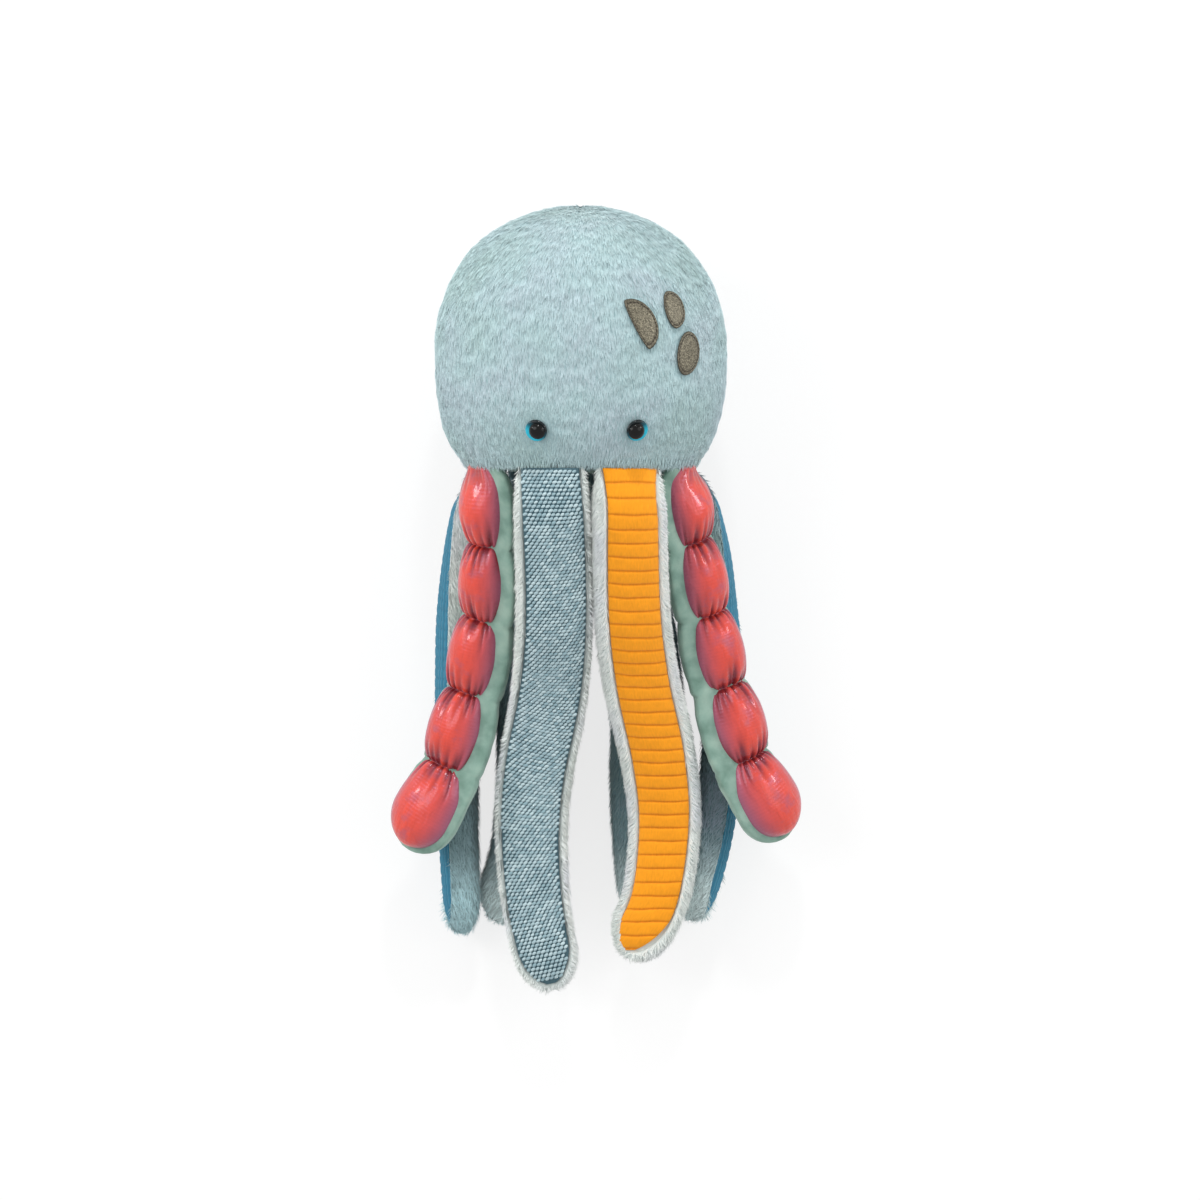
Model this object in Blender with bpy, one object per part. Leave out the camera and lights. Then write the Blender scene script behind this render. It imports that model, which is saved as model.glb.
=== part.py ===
"""Plush jellyfish, lying on its back with its face up.

X runs across the face, Y towards the crown and Z up from the floor.  The origin is on the
floor, under the head's axis, in the middle of the flat that the head's back rests on.
Eight stuffed tentacles hang from a ring on the head's underside.  Each is a soft back,
which is modelled solid with its stuffing, and a fabric panel let into its front.
"""

import math

import bmesh
import bpy
from mathutils import Matrix, Vector

# Clearance between pieces that touch in the real toy.
SEWN_GAP = 0.0003

# Head: a fur dome, widest at Y = 0.
HEAD_WIDTH = 0.147
HEAD_DEPTH = 0.140
HEAD_SETTLED = 0.004
CROWN_HEIGHT = 0.0728
CROWN_SQUARENESS = 2.12
JAW_HEIGHT = 0.075
JAW_SQUARENESS = 2.8
UNDERSIDE_DROP = 0.059
UNDERSIDE_ROUNDING = 0.003
HEAD_SEGMENTS = 32
CROWN_RINGS = 8
JAW_RINGS = 6

# Round panel that closes the underside, inside the ring of tentacles.
CLOSING_PANEL_RADIUS = 0.036
CLOSING_PANEL_THICKNESS = 0.0015

# Safety eyes: a black dome on a ribbed shank, a teal ring under it, a lock washer inside.
EYE_ACROSS = (-0.0212, 0.0270)
EYE_DROP = 0.0405
PUPIL_RADIUS = 0.0042
PUPIL_HEIGHT = 0.0030
IRIS_RADIUS = 0.0052
IRIS_THICKNESS = 0.0010
IRIS_SHIFT = 0.0006
SHANK_RADIUS = 0.0016
SHANK_LENGTH = 0.0085
WASHER_RADIUS = 0.0062
WASHER_THICKNESS = 0.0012
FUR_SKIN = 0.0022

# Three leather-cloth spots on the forehead: (top end, bottom end, bulge right, bulge left).
SPOTS = {
    "spot_large": ((0.0215, 0.0238), (0.0340, -0.0005), 0.0098, 0.0016),
    "spot_upper": ((0.0425, 0.0285), (0.0475, 0.0100), 0.0062, 0.0034),
    "spot_lower": ((0.0535, 0.0087), (0.0513, -0.0132), 0.0062, 0.0047),
}
SPOT_THICKNESS = 0.0009
SPOT_POINTS = 7

# Ring that the tentacles are sewn to, this far in from the underside's edge.
RING_INSET = 0.0062
ROOT_THICKNESS = 0.0110
ROOT_LENGTH = 0.026

# Tentacle sections.
FUR_WIDTH = 0.0390
FUR_THICKNESS = 0.0210
SIDE_WIDTH = 0.0340
SIDE_THICKNESS = 0.0220
VELVET_WIDTH = 0.0335
VELVET_THICKNESS = 0.0130
SATIN_WIDTH = 0.0268
SATIN_HEIGHT = 0.0125
PANEL_THICKNESS = 0.0018
WOVEN_WIDTH = 0.0290
RIBBED_WIDTH = 0.0262
CORDED_WIDTH = 0.0245
SECTION_SQUARENESS = 2.3
TIP_LENGTH = 0.020
TIP_RIM = 0.0050
TIP_TAPER = 0.82
FLOOR_SAG = 0.0005

# Surface relief of the panels.
RIB_STEP = 0.0036
RIB_DEPTH = 0.0013
WEAVE_PITCH = 0.0065
WEAVE_DEPTH = 0.0007
CORD_STEP = 0.0030
CORD_DEPTH = 0.0007
POD_COUNT = 5
LAST_POD_LENGTH = 1.25
POD_GROWTH = 0.30
POD_NECK = 0.60
POD_FULLNESS = 0.42
PLEAT_DEPTH = 0.0012
VELVET_PINCH = 0.13
SATIN_THICKNESS = 0.0014
SATIN_SHIFT = 0.0024
VELVET_MARGIN = 0.0010
LAST_POD_FILL = 0.075
LAST_POD_SHIFT = 0.45
LAST_VELVET = 0.93

HEAD_AXIS_HEIGHT = HEAD_DEPTH / 2 - HEAD_SETTLED
DEPTH_RATIO = HEAD_DEPTH / HEAD_WIDTH
ROOT_Y = -UNDERSIDE_DROP - SEWN_GAP
LAYER_GAP = 0.0008
FRONT_SUPPORT = FUR_THICKNESS + LAYER_GAP
SIDE_SUPPORT = SIDE_WIDTH + LAYER_GAP

# Each tentacle's way: the angle of its root on the ring from the front, then points of
# (drift across, way down from the root, share of the drop done, facing in degrees).
FRONT_LEFT_WAY = (-16.2, [
    (0.0002, 0.020, 0.05, 2), (0.0010, 0.071, 0.32, 8), (-0.0012, 0.111, 0.60, 2),
    (-0.0080, 0.151, 0.83, -5), (-0.0101, 0.181, 0.94, -8), (-0.0080, 0.216, 1.00, -8),
    (-0.0028, 0.244, 1.03, -8), (0.0015, 0.2605, 1.10, -8),
])
FRONT_RIGHT_WAY = (26.2, [
    (0.0004, 0.020, 0.05, 18), (0.0022, 0.071, 0.32, 10), (0.0070, 0.106, 0.56, 4),
    (0.0155, 0.144, 0.78, 0), (0.0190, 0.176, 0.91, -3), (0.0155, 0.211, 0.98, -5),
    (0.0072, 0.232, 1.01, -5), (0.0000, 0.2450, 1.05, -5),
])
RED_LEFT_WAY = (-66.0, [
    (0.0012, 0.014, 0.03, -46), (0.0012, 0.056, 0.40, -38), (-0.0035, 0.093, 0.76, -31),
    (-0.0130, 0.131, 0.98, -30), (-0.0205, 0.154, 1.06, -32), (-0.0325, 0.177, 1.20, -35),
    (-0.0390, 0.193, 1.34, -36),
])
RED_RIGHT_WAY = (72.0, [
    (0.0007, 0.013, 0.03, 46), (0.0084, 0.053, 0.40, 38), (0.0165, 0.091, 0.76, 31),
    (0.0262, 0.126, 0.98, 32), (0.0338, 0.149, 1.10, 36), (0.0453, 0.170, 1.30, 40),
    (0.0530, 0.187, 1.50, 41),
])
BLUE_LEFT_WAY = (-112.0, [
    (-0.0028, 0.010, 0.05, -106), (-0.0088, 0.036, 0.45, -90), (-0.0128, 0.071, 0.85, -79),
    (-0.0138, 0.106, 1.00, -78), (-0.0138, 0.146, 1.00, -80), (-0.0128, 0.191, 1.03, -80),
    (-0.0113, 0.221, 1.06, -80), (-0.0110, 0.2335, 1.08, -80),
])
BLUE_RIGHT_WAY = (112.0, [
    (0.0075, 0.012, 0.05, 106), (0.0155, 0.041, 0.45, 90), (0.0190, 0.071, 0.85, 79),
    (0.0225, 0.106, 1.00, 78), (0.0232, 0.131, 1.00, 80), (0.0212, 0.159, 1.00, 80),
    (0.0168, 0.189, 1.03, 80), (0.0100, 0.215, 1.06, 80), (0.0060, 0.2265, 1.08, 80),
])
BACK_LEFT_WAY = (-157.0, [
    (-0.0002, 0.020, 0.25, -163), (-0.0017, 0.070, 1.00, -178), (-0.0030, 0.120, 1.00, -180),
    (-0.0042, 0.156, 1.00, -180), (-0.0072, 0.186, 1.00, -180), (-0.0132, 0.207, 1.00, -180),
    (-0.0200, 0.220, 1.00, -180), (-0.0246, 0.2265, 1.00, -180),
])
BACK_RIGHT_WAY = (160.0, [
    (0.0012, 0.020, 0.25, 164), (0.0062, 0.056, 1.00, 176), (0.0122, 0.091, 1.00, 180),
    (0.0157, 0.127, 1.00, 180), (0.0147, 0.156, 1.00, 180), (0.0152, 0.186, 1.00, 180),
    (0.0165, 0.209, 1.00, 180), (0.0175, 0.2285, 1.00, 180),
])

# Fineness of the lofts.
WAY_STEPS = 24
FUR_STATIONS = 8
LEAST_STEP = 0.0018
POD_STATIONS = 4
BACK_POINTS = 7
FLOOR_POINTS = 3
RELIEF_CRISPNESS = 24
CORE_TURNS = (0.0, math.pi / 4, math.pi / 2, 3 * math.pi / 4, math.pi)


def clear_scene():
    for thing in list(bpy.data.objects):
        bpy.data.objects.remove(thing, do_unlink=True)


def cloth(name, colour, roughness, metallic=0.0):
    """A plain material for one fabric or plastic."""
    made = bpy.data.materials.new(name)
    made.use_nodes = True
    shader = made.node_tree.nodes["Principled BSDF"]
    shader.inputs["Base Color"].default_value = (*colour, 1.0)
    shader.inputs["Roughness"].default_value = roughness
    shader.inputs["Metallic"].default_value = metallic
    return made


def fold_inwards(bm):
    """Splits each bent quad along its deeper diagonal, so that no split eats into a gap."""
    for face in [face for face in bm.faces if len(face.verts) == 4]:
        a, b, c, d = face.verts
        rise = (a.co + c.co - b.co - d.co).dot(face.normal)
        pair = (a, c) if rise < 0 else (b, d)
        bmesh.utils.face_split(face, *pair)


def object_from(bm, name, material, crisp=50):
    """Turns a closed bmesh into a smooth-shaded object that faces outwards."""
    bmesh.ops.recalc_face_normals(bm, faces=bm.faces)
    if bm.calc_volume(signed=True) < 0:
        bmesh.ops.reverse_faces(bm, faces=bm.faces)
    fold_inwards(bm)
    mesh = bpy.data.meshes.new(name)
    bm.to_mesh(mesh)
    bm.free()
    mesh.shade_smooth()
    mesh.set_sharp_from_angle(angle=math.radians(crisp))
    mesh.materials.append(material)
    made = bpy.data.objects.new(name, mesh)
    bpy.context.scene.collection.objects.link(made)
    return made


def loft(name, rings, material, crisp=50):
    """Closed skin through rings of equal point count, with a face over each end."""
    bm = bmesh.new()
    loops = [[bm.verts.new(point) for point in ring] for ring in rings]
    for near, far in zip(loops, loops[1:]):
        for i, corner in enumerate(near):
            j = (i + 1) % len(near)
            bm.faces.new((corner, near[j], far[j], far[i]))
    bm.faces.new(loops[0])
    bm.faces.new(reversed(loops[-1]))
    return object_from(bm, name, material, crisp)


def turned(name, profile, place, material, segments=16):
    """A solid turned about its own Z from (radius, height) pairs, set by a matrix."""
    bm = bmesh.new()
    points = [bm.verts.new((radius, 0, height)) for radius, height in profile]
    edges = [bm.edges.new(pair) for pair in zip(points, points[1:])]
    if profile[0][0] > 0:
        edges.append(bm.edges.new((points[-1], points[0])))
    bmesh.ops.spin(
        bm, geom=points + edges, cent=(0, 0, 0), axis=(0, 0, 1),
        angle=math.tau, steps=segments,
    )
    bmesh.ops.remove_doubles(bm, verts=bm.verts, dist=1e-6)
    bm.transform(place)
    return object_from(bm, name, material)


# Head.

def head_radius(y):
    """Half-width of the dome at a distance y above its widest line."""
    height, power = (CROWN_HEIGHT, CROWN_SQUARENESS) if y >= 0 else (JAW_HEIGHT, JAW_SQUARENESS)
    share = min(1.0, abs(y) / height)
    return HEAD_WIDTH / 2 * (1 - share**power) ** (1 / power)


def underside_radius():
    """Half-width of the flat underside, inside its rounded edge."""
    return head_radius(UNDERSIDE_ROUNDING - UNDERSIDE_DROP) - UNDERSIDE_ROUNDING / 2


def head_front(x, y):
    """Point of the dome's face above (x, y), and its outward normal."""
    def height(u, v):
        return HEAD_AXIS_HEIGHT + DEPTH_RATIO * math.sqrt(head_radius(v) ** 2 - u * u)

    step = 1e-4
    slope_x = (height(x + step, y) - height(x - step, y)) / (2 * step)
    slope_y = (height(x, y + step) - height(x, y - step)) / (2 * step)
    return Vector((x, y, height(x, y))), Vector((-slope_x, -slope_y, 1)).normalized()


def head_ring(radius, y):
    """One ring round the head's axis, pressed flat where it lies on the floor."""
    ring = []
    for i in range(HEAD_SEGMENTS):
        turn = math.tau * i / HEAD_SEGMENTS
        z = HEAD_AXIS_HEIGHT + radius * DEPTH_RATIO * math.cos(turn)
        ring.append(Vector((radius * math.sin(turn), y, max(0.0, z))))
    return ring


def make_head(material):
    rings = []
    for i in range(CROWN_RINGS):
        turn = math.pi / 2 * (1 - (i + 0.35) / CROWN_RINGS)
        y = CROWN_HEIGHT * math.sin(turn)
        rings.append(head_ring(head_radius(y), y))
    side_drop = UNDERSIDE_DROP - UNDERSIDE_ROUNDING
    for i in range(JAW_RINGS):
        y = -side_drop * i / (JAW_RINGS - 1)
        rings.append(head_ring(head_radius(y), y))
    rings.append(head_ring(underside_radius(), -UNDERSIDE_DROP))
    head = loft("head", rings, material)
    for index, across in enumerate(EYE_ACROSS):
        cut(head, eye_pocket(f"eye_pocket_{index}", eye_place(across)))
    return head


def cut(body, cutter):
    """Takes the cutter's shape out of the body."""
    boolean = body.modifiers.new(cutter.name, "BOOLEAN")
    boolean.operation = "DIFFERENCE"
    boolean.object = cutter
    cutter.hide_render = True
    cutter.display_type = "WIRE"


def make_closing_panel(material):
    """Disc sewn over the stuffing hole, in the middle of the ring of tentacles."""
    top = -UNDERSIDE_DROP - SEWN_GAP
    place = Matrix.Translation((0, top, HEAD_AXIS_HEIGHT)) @ Matrix.Rotation(math.pi / 2, 4, "X")
    thick = CLOSING_PANEL_THICKNESS
    outer = CLOSING_PANEL_RADIUS
    profile = [(0, 0), (outer - thick, 0), (outer, thick / 2), (outer - thick, thick), (0, thick)]
    return turned("closing_panel", profile, place, material, segments=18)


# Eyes and spots.

def eye_place(across):
    """Frame of one eye: its Z stands out of the dome's skin."""
    point, normal = head_front(across, -EYE_DROP)
    return Matrix.Translation(point) @ normal.to_track_quat("Z", "Y").to_matrix().to_4x4()


def eye_pocket(name, place):
    """Space inside the head for the shank and the lock washer."""
    hole = SHANK_RADIUS + SEWN_GAP
    room = WASHER_RADIUS + SEWN_GAP
    roof = -FUR_SKIN
    floor = roof - WASHER_THICKNESS - 2 * SEWN_GAP
    bottom = -SHANK_LENGTH - 2 * SEWN_GAP
    profile = [
        (0, FUR_SKIN), (hole, FUR_SKIN), (hole, roof), (room, roof),
        (room, floor), (hole, floor), (hole, bottom), (0, bottom),
    ]
    return turned(name, profile, place, bpy.data.materials["pale_blue_fur"], segments=12)


def make_eye(side, across, black, teal, white):
    place = eye_place(across)
    seat = IRIS_THICKNESS + 2 * SEWN_GAP
    dome = [
        (PUPIL_RADIUS * math.cos(turn), seat + PUPIL_HEIGHT * math.sin(turn))
        for turn in (0, 0.45, 0.9, 1.3)
    ]
    shank = [(0, -SHANK_LENGTH), (SHANK_RADIUS, -SHANK_LENGTH), (SHANK_RADIUS, seat)]
    top = [(0, seat + PUPIL_HEIGHT)]
    turned(f"{side}_eye", shank + dome + top, place, black)

    out = Vector((math.copysign(IRIS_SHIFT, across), -IRIS_SHIFT, 0))
    ring_place = place @ Matrix.Translation(out)
    hole = SHANK_RADIUS + SEWN_GAP + 1.5 * IRIS_SHIFT
    low, high = SEWN_GAP, SEWN_GAP + IRIS_THICKNESS
    ring = [(hole, low), (IRIS_RADIUS, low), (IRIS_RADIUS - low, high), (hole, high)]
    turned(f"{side}_eye_ring", ring, ring_place, teal)

    near = -FUR_SKIN - SEWN_GAP
    inner = SHANK_RADIUS + SEWN_GAP
    far = near - WASHER_THICKNESS
    washer = [(inner, far), (WASHER_RADIUS, far), (WASHER_RADIUS, near), (inner, near)]
    turned(f"{side}_eye_washer", washer, place, white, segments=12)


def spot_outline(top, bottom, bulge_right, bulge_left):
    """Leaf outline: down one side from the top end to the bottom end, and up the other."""
    top, bottom = Vector(top), Vector(bottom)
    aside = Vector((top.y - bottom.y, bottom.x - top.x)).normalized()
    points = []
    for i in range(2 * SPOT_POINTS):
        turn = math.pi * i / SPOT_POINTS
        middle = top.lerp(bottom, (1 - math.cos(turn)) / 2)
        bulge = bulge_right if i < SPOT_POINTS else bulge_left
        points.append(middle + aside * bulge * math.sin(turn))
    return points


def make_spot(name, size, material):
    """Thin patch that follows the dome."""
    outline = spot_outline(*size)
    across, up = sum(outline, Vector((0, 0))) / len(outline)
    bm = bmesh.new()

    def layer(lift, share):
        made = []
        for x, y in outline:
            flat_x = across + (x - across) * share
            flat_y = up + (y - up) * share
            point, normal = head_front(flat_x, flat_y)
            made.append(bm.verts.new(point + normal * lift))
        return made

    def middle(lift):
        point, normal = head_front(across, up)
        return bm.verts.new(point + normal * lift)

    top = SEWN_GAP + SPOT_THICKNESS
    loops = [layer(SEWN_GAP, 0.5), layer(SEWN_GAP, 0.97), layer(top, 1.0), layer(top, 0.5)]
    under, over = middle(SEWN_GAP), middle(top)
    for near, far in zip(loops, loops[1:]):
        for i, corner in enumerate(near):
            j = (i + 1) % len(near)
            bm.faces.new((corner, near[j], far[j], far[i]))
    for i in range(len(outline)):
        j = (i + 1) % len(outline)
        bm.faces.new((under, loops[0][j], loops[0][i]))
        bm.faces.new((over, loops[-1][i], loops[-1][j]))
    return object_from(bm, name, material)


# Tentacles.

def rest_height(support, half_width, half_thickness, facing):
    """Height of a tentacle's middle where it lies on something, turned by its facing."""
    turn = math.radians(facing)
    reach = math.hypot(half_thickness * math.cos(turn), half_width * math.sin(turn))
    return support + reach - FLOOR_SAG


def catmull(points, i, t):
    """Smooth curve through a list of vectors, between points i and i + 1."""
    p1, p2 = points[i], points[i + 1]
    p0 = points[i - 1] if i else p1 * 2 - p2
    p3 = points[i + 2] if i + 2 < len(points) else p2 * 2 - p1
    return 0.5 * (
        2 * p1 + (p2 - p0) * t + (2 * p0 - 5 * p1 + 4 * p2 - p3) * t**2
        + (3 * p1 - p0 - 3 * p2 + p3) * t**3
    )


class Way:
    """The line that a tentacle follows: a point and two directions at any length along it."""

    def __init__(self, way, support, half_width, half_thickness):
        root_turn, points = way
        turn = math.radians(root_turn)
        ring = underside_radius() - RING_INSET
        root = Vector((
            ring * math.sin(turn), ROOT_Y, HEAD_AXIS_HEIGHT + ring * DEPTH_RATIO * math.cos(turn),
        ))
        knots = [Vector((*root, root_turn))]
        for across, down, share, facing in points:
            lying = rest_height(support, half_width, half_thickness, facing)
            z = root.z + share * (lying - root.z)
            knots.append(Vector((root.x + across, root.y - down, z, facing)))
        self.places = [
            catmull(knots, i, step / WAY_STEPS)
            for i in range(len(knots) - 1) for step in range(WAY_STEPS)
        ] + [knots[-1]]
        self.lengths = [0.0]
        for a, b in zip(self.places, self.places[1:]):
            self.lengths.append(self.lengths[-1] + (b.xyz - a.xyz).length)
        self.length = self.lengths[-1]

    def at(self, along):
        """Place, direction across and direction out of the panel, at a length from the root."""
        i = 0
        while i < len(self.lengths) - 2 and self.lengths[i + 1] < along:
            i += 1
        a, b = self.places[i], self.places[i + 1]
        span = self.lengths[i + 1] - self.lengths[i]
        here = a.lerp(b, (along - self.lengths[i]) / span)
        before = self.places[max(0, i - 3)].xyz
        after = self.places[min(len(self.places) - 1, i + 4)].xyz
        forward = (after - before).normalized()
        square = min(1.0, along / ROOT_LENGTH)
        forward = Vector((0, -1, 0)).lerp(forward, square).normalized()
        turn = math.radians(here.w)
        out = Vector((math.sin(turn), 0, math.cos(turn)))
        out = (out - forward * out.dot(forward)).normalized()
        return here.xyz, out.cross(forward), out


def round_end(along, end, length):
    """1 along a tentacle, falling to 0 over its rounded end."""
    into = min(1.0, max(0.0, (along - (end - length)) / length))
    return math.sqrt(1 - into * into)


def oval(u, half_width, half_thickness):
    """Height of the oval section's skin at a distance u across it."""
    share = min(1.0, abs(u) / half_width)
    return half_thickness * (1 - share**SECTION_SQUARENESS) ** (1 / SECTION_SQUARENESS)


def on_floor(point):
    """Soft fabric is pressed flat where it would reach under the floor."""
    return Vector((point.x, point.y, max(0.0, point.z)))


class FurTentacle:
    """Fur back with a fabric panel let into its front, and fur rims beside the panel."""

    def __init__(self, way, support, width, thickness, panel_width, pitch):
        self.way = Way(way, support, width / 2, thickness / 2)
        self.half_width = width / 2
        self.half_thickness = thickness / 2
        self.half_panel = panel_width / 2
        self.panel_end = self.way.length - TIP_RIM
        self.stops = self.recess_stops(pitch)

    def body_size(self, along):
        """Half-width and half-thickness, flat at the root and tapered to the tip."""
        root = min(1.0, along / ROOT_LENGTH)
        root = root * root * (3 - 2 * root)
        taper = 1 - (1 - TIP_TAPER) * max(0.0, along / self.way.length * 2 - 1) ** 1.5
        end = round_end(along, self.way.length, TIP_LENGTH)
        thick = ROOT_THICKNESS / 2 + (self.half_thickness - ROOT_THICKNESS / 2) * root
        wide = self.half_width * (0.92 + 0.08 * root)
        return wide * taper * end, thick * taper * max(end, 0.3)

    def panel_half(self, along):
        wide = self.half_panel / self.half_width * self.body_size(along)[0]
        return min(wide, self.half_panel) * round_end(along, self.panel_end, TIP_LENGTH)

    def section(self, along, offsets):
        """World points of one section, from (u, v) pairs across it and out of it."""
        place, across, out = self.way.at(along)
        return [place + across * u + out * v for u, v in offsets]

    def recess_stops(self, pitch):
        """Stations of the body as far as its panel reaches, each on a step of the relief."""
        last = self.panel_end - TIP_LENGTH * 0.04
        span = last - TIP_LENGTH - ROOT_LENGTH
        made = [0.0, ROOT_LENGTH * 0.3, ROOT_LENGTH * 0.65]
        made += [ROOT_LENGTH + span * i / FUR_STATIONS for i in range(FUR_STATIONS + 1)]
        made += [last - TIP_LENGTH * share for share in (0.5, 0.2)]
        steps = {round(stop / pitch) for stop in made}
        return [step * pitch for step in sorted(steps) if step * pitch < last - LEAST_STEP] + [last]

    def body_ring(self, along, recessed):
        wide, thick = self.body_size(along)
        half = self.panel_half(min(along, self.stops[-1])) + SEWN_GAP
        half = min(half, wide * 0.86)
        depth = PANEL_THICKNESS + SEWN_GAP if recessed else 0.0
        offsets = []
        for i in range(FLOOR_POINTS):
            u = -half + 2 * half * i / (FLOOR_POINTS - 1)
            offsets.append((u, oval(u, wide, thick) - depth))
        lip = half + SEWN_GAP
        offsets.append((lip, oval(lip, wide, thick)))
        for i in range(BACK_POINTS):
            turn = math.pi * i / (BACK_POINTS - 1)
            u = wide * math.cos(turn)
            offsets.append((u, -oval(u, wide, thick)))
        offsets.append((-lip, oval(lip, wide, thick)))
        return [on_floor(point) for point in self.section(along, offsets)]

    def make_body(self, name, material):
        rings = [self.body_ring(stop, True) for stop in self.stops]
        rim = self.way.length - self.stops[-1]
        rings += [
            self.body_ring(self.stops[-1] + 2 * SEWN_GAP, False),
            self.body_ring(self.way.length - rim * 0.35, False),
            self.body_ring(self.way.length - rim * 0.06, False),
        ]
        return loft(name, rings, material)

    def bare_panel_ring(self, along, points):
        """The panel's outer skin, then its inner skin back again, both smooth."""
        wide, thick = self.body_size(along)
        half = self.panel_half(along)
        shares = [-1 + 2 * i / (points - 1) for i in range(points)]
        offsets = [(half * share, oval(half * share, wide, thick)) for share in shares]
        for u in (half * 0.97, 0.0, -half * 0.97):
            offsets.append((u, oval(u, wide, thick) - PANEL_THICKNESS))
        return self.section(along, offsets)

    def panel_ring(self, along, relief, points):
        """One ring of the panel, which keeps to the body's own flats between its stations."""
        stops = self.stops
        i = max(0, min(len(stops) - 2, sum(stop <= along for stop in stops) - 1))
        share = (along - stops[i]) / (stops[i + 1] - stops[i])
        near = self.bare_panel_ring(stops[i], points)
        far = self.bare_panel_ring(stops[i + 1], points)
        out = self.way.at(along)[2]
        ring = [a.lerp(b, share) for a, b in zip(near, far)]
        for j in range(points):
            sunk = relief(along, j, -1 + 2 * j / (points - 1))
            ring[j] -= out * sunk
        return [on_floor(point) for point in ring]

    def make_panel(self, name, steps, relief, points, material):
        """The panel, with a ring at each of the steps, or where the body has one."""
        last = self.stops[-1]
        inner = [step for step in steps or self.stops if step < last - LEAST_STEP]
        stops = inner + [last - SEWN_GAP]
        rings = [self.panel_ring(stop, relief, points) for stop in stops]
        return loft(name, rings, material, RELIEF_CRISPNESS)


def rib_relief(along, _, share):
    """Quilted ribs across the panel: a crease, then a rib's top, and so on."""
    in_crease = round(along / RIB_STEP) % 2 == 0
    return RIB_DEPTH * in_crease * (1 - 0.5 * share**4)


def weave_relief(along, i, share):
    """Threads that go over and under by turns."""
    over = (round(along / WEAVE_PITCH) + i) % 2
    return WEAVE_DEPTH * over * (1 if abs(share) < 1 else 0.3)


def cord_relief(_, i, share):
    """Cords that run the length of the panel."""
    return CORD_DEPTH * (i % 2) * (1 if abs(share) < 1 else 0.3)


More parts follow.
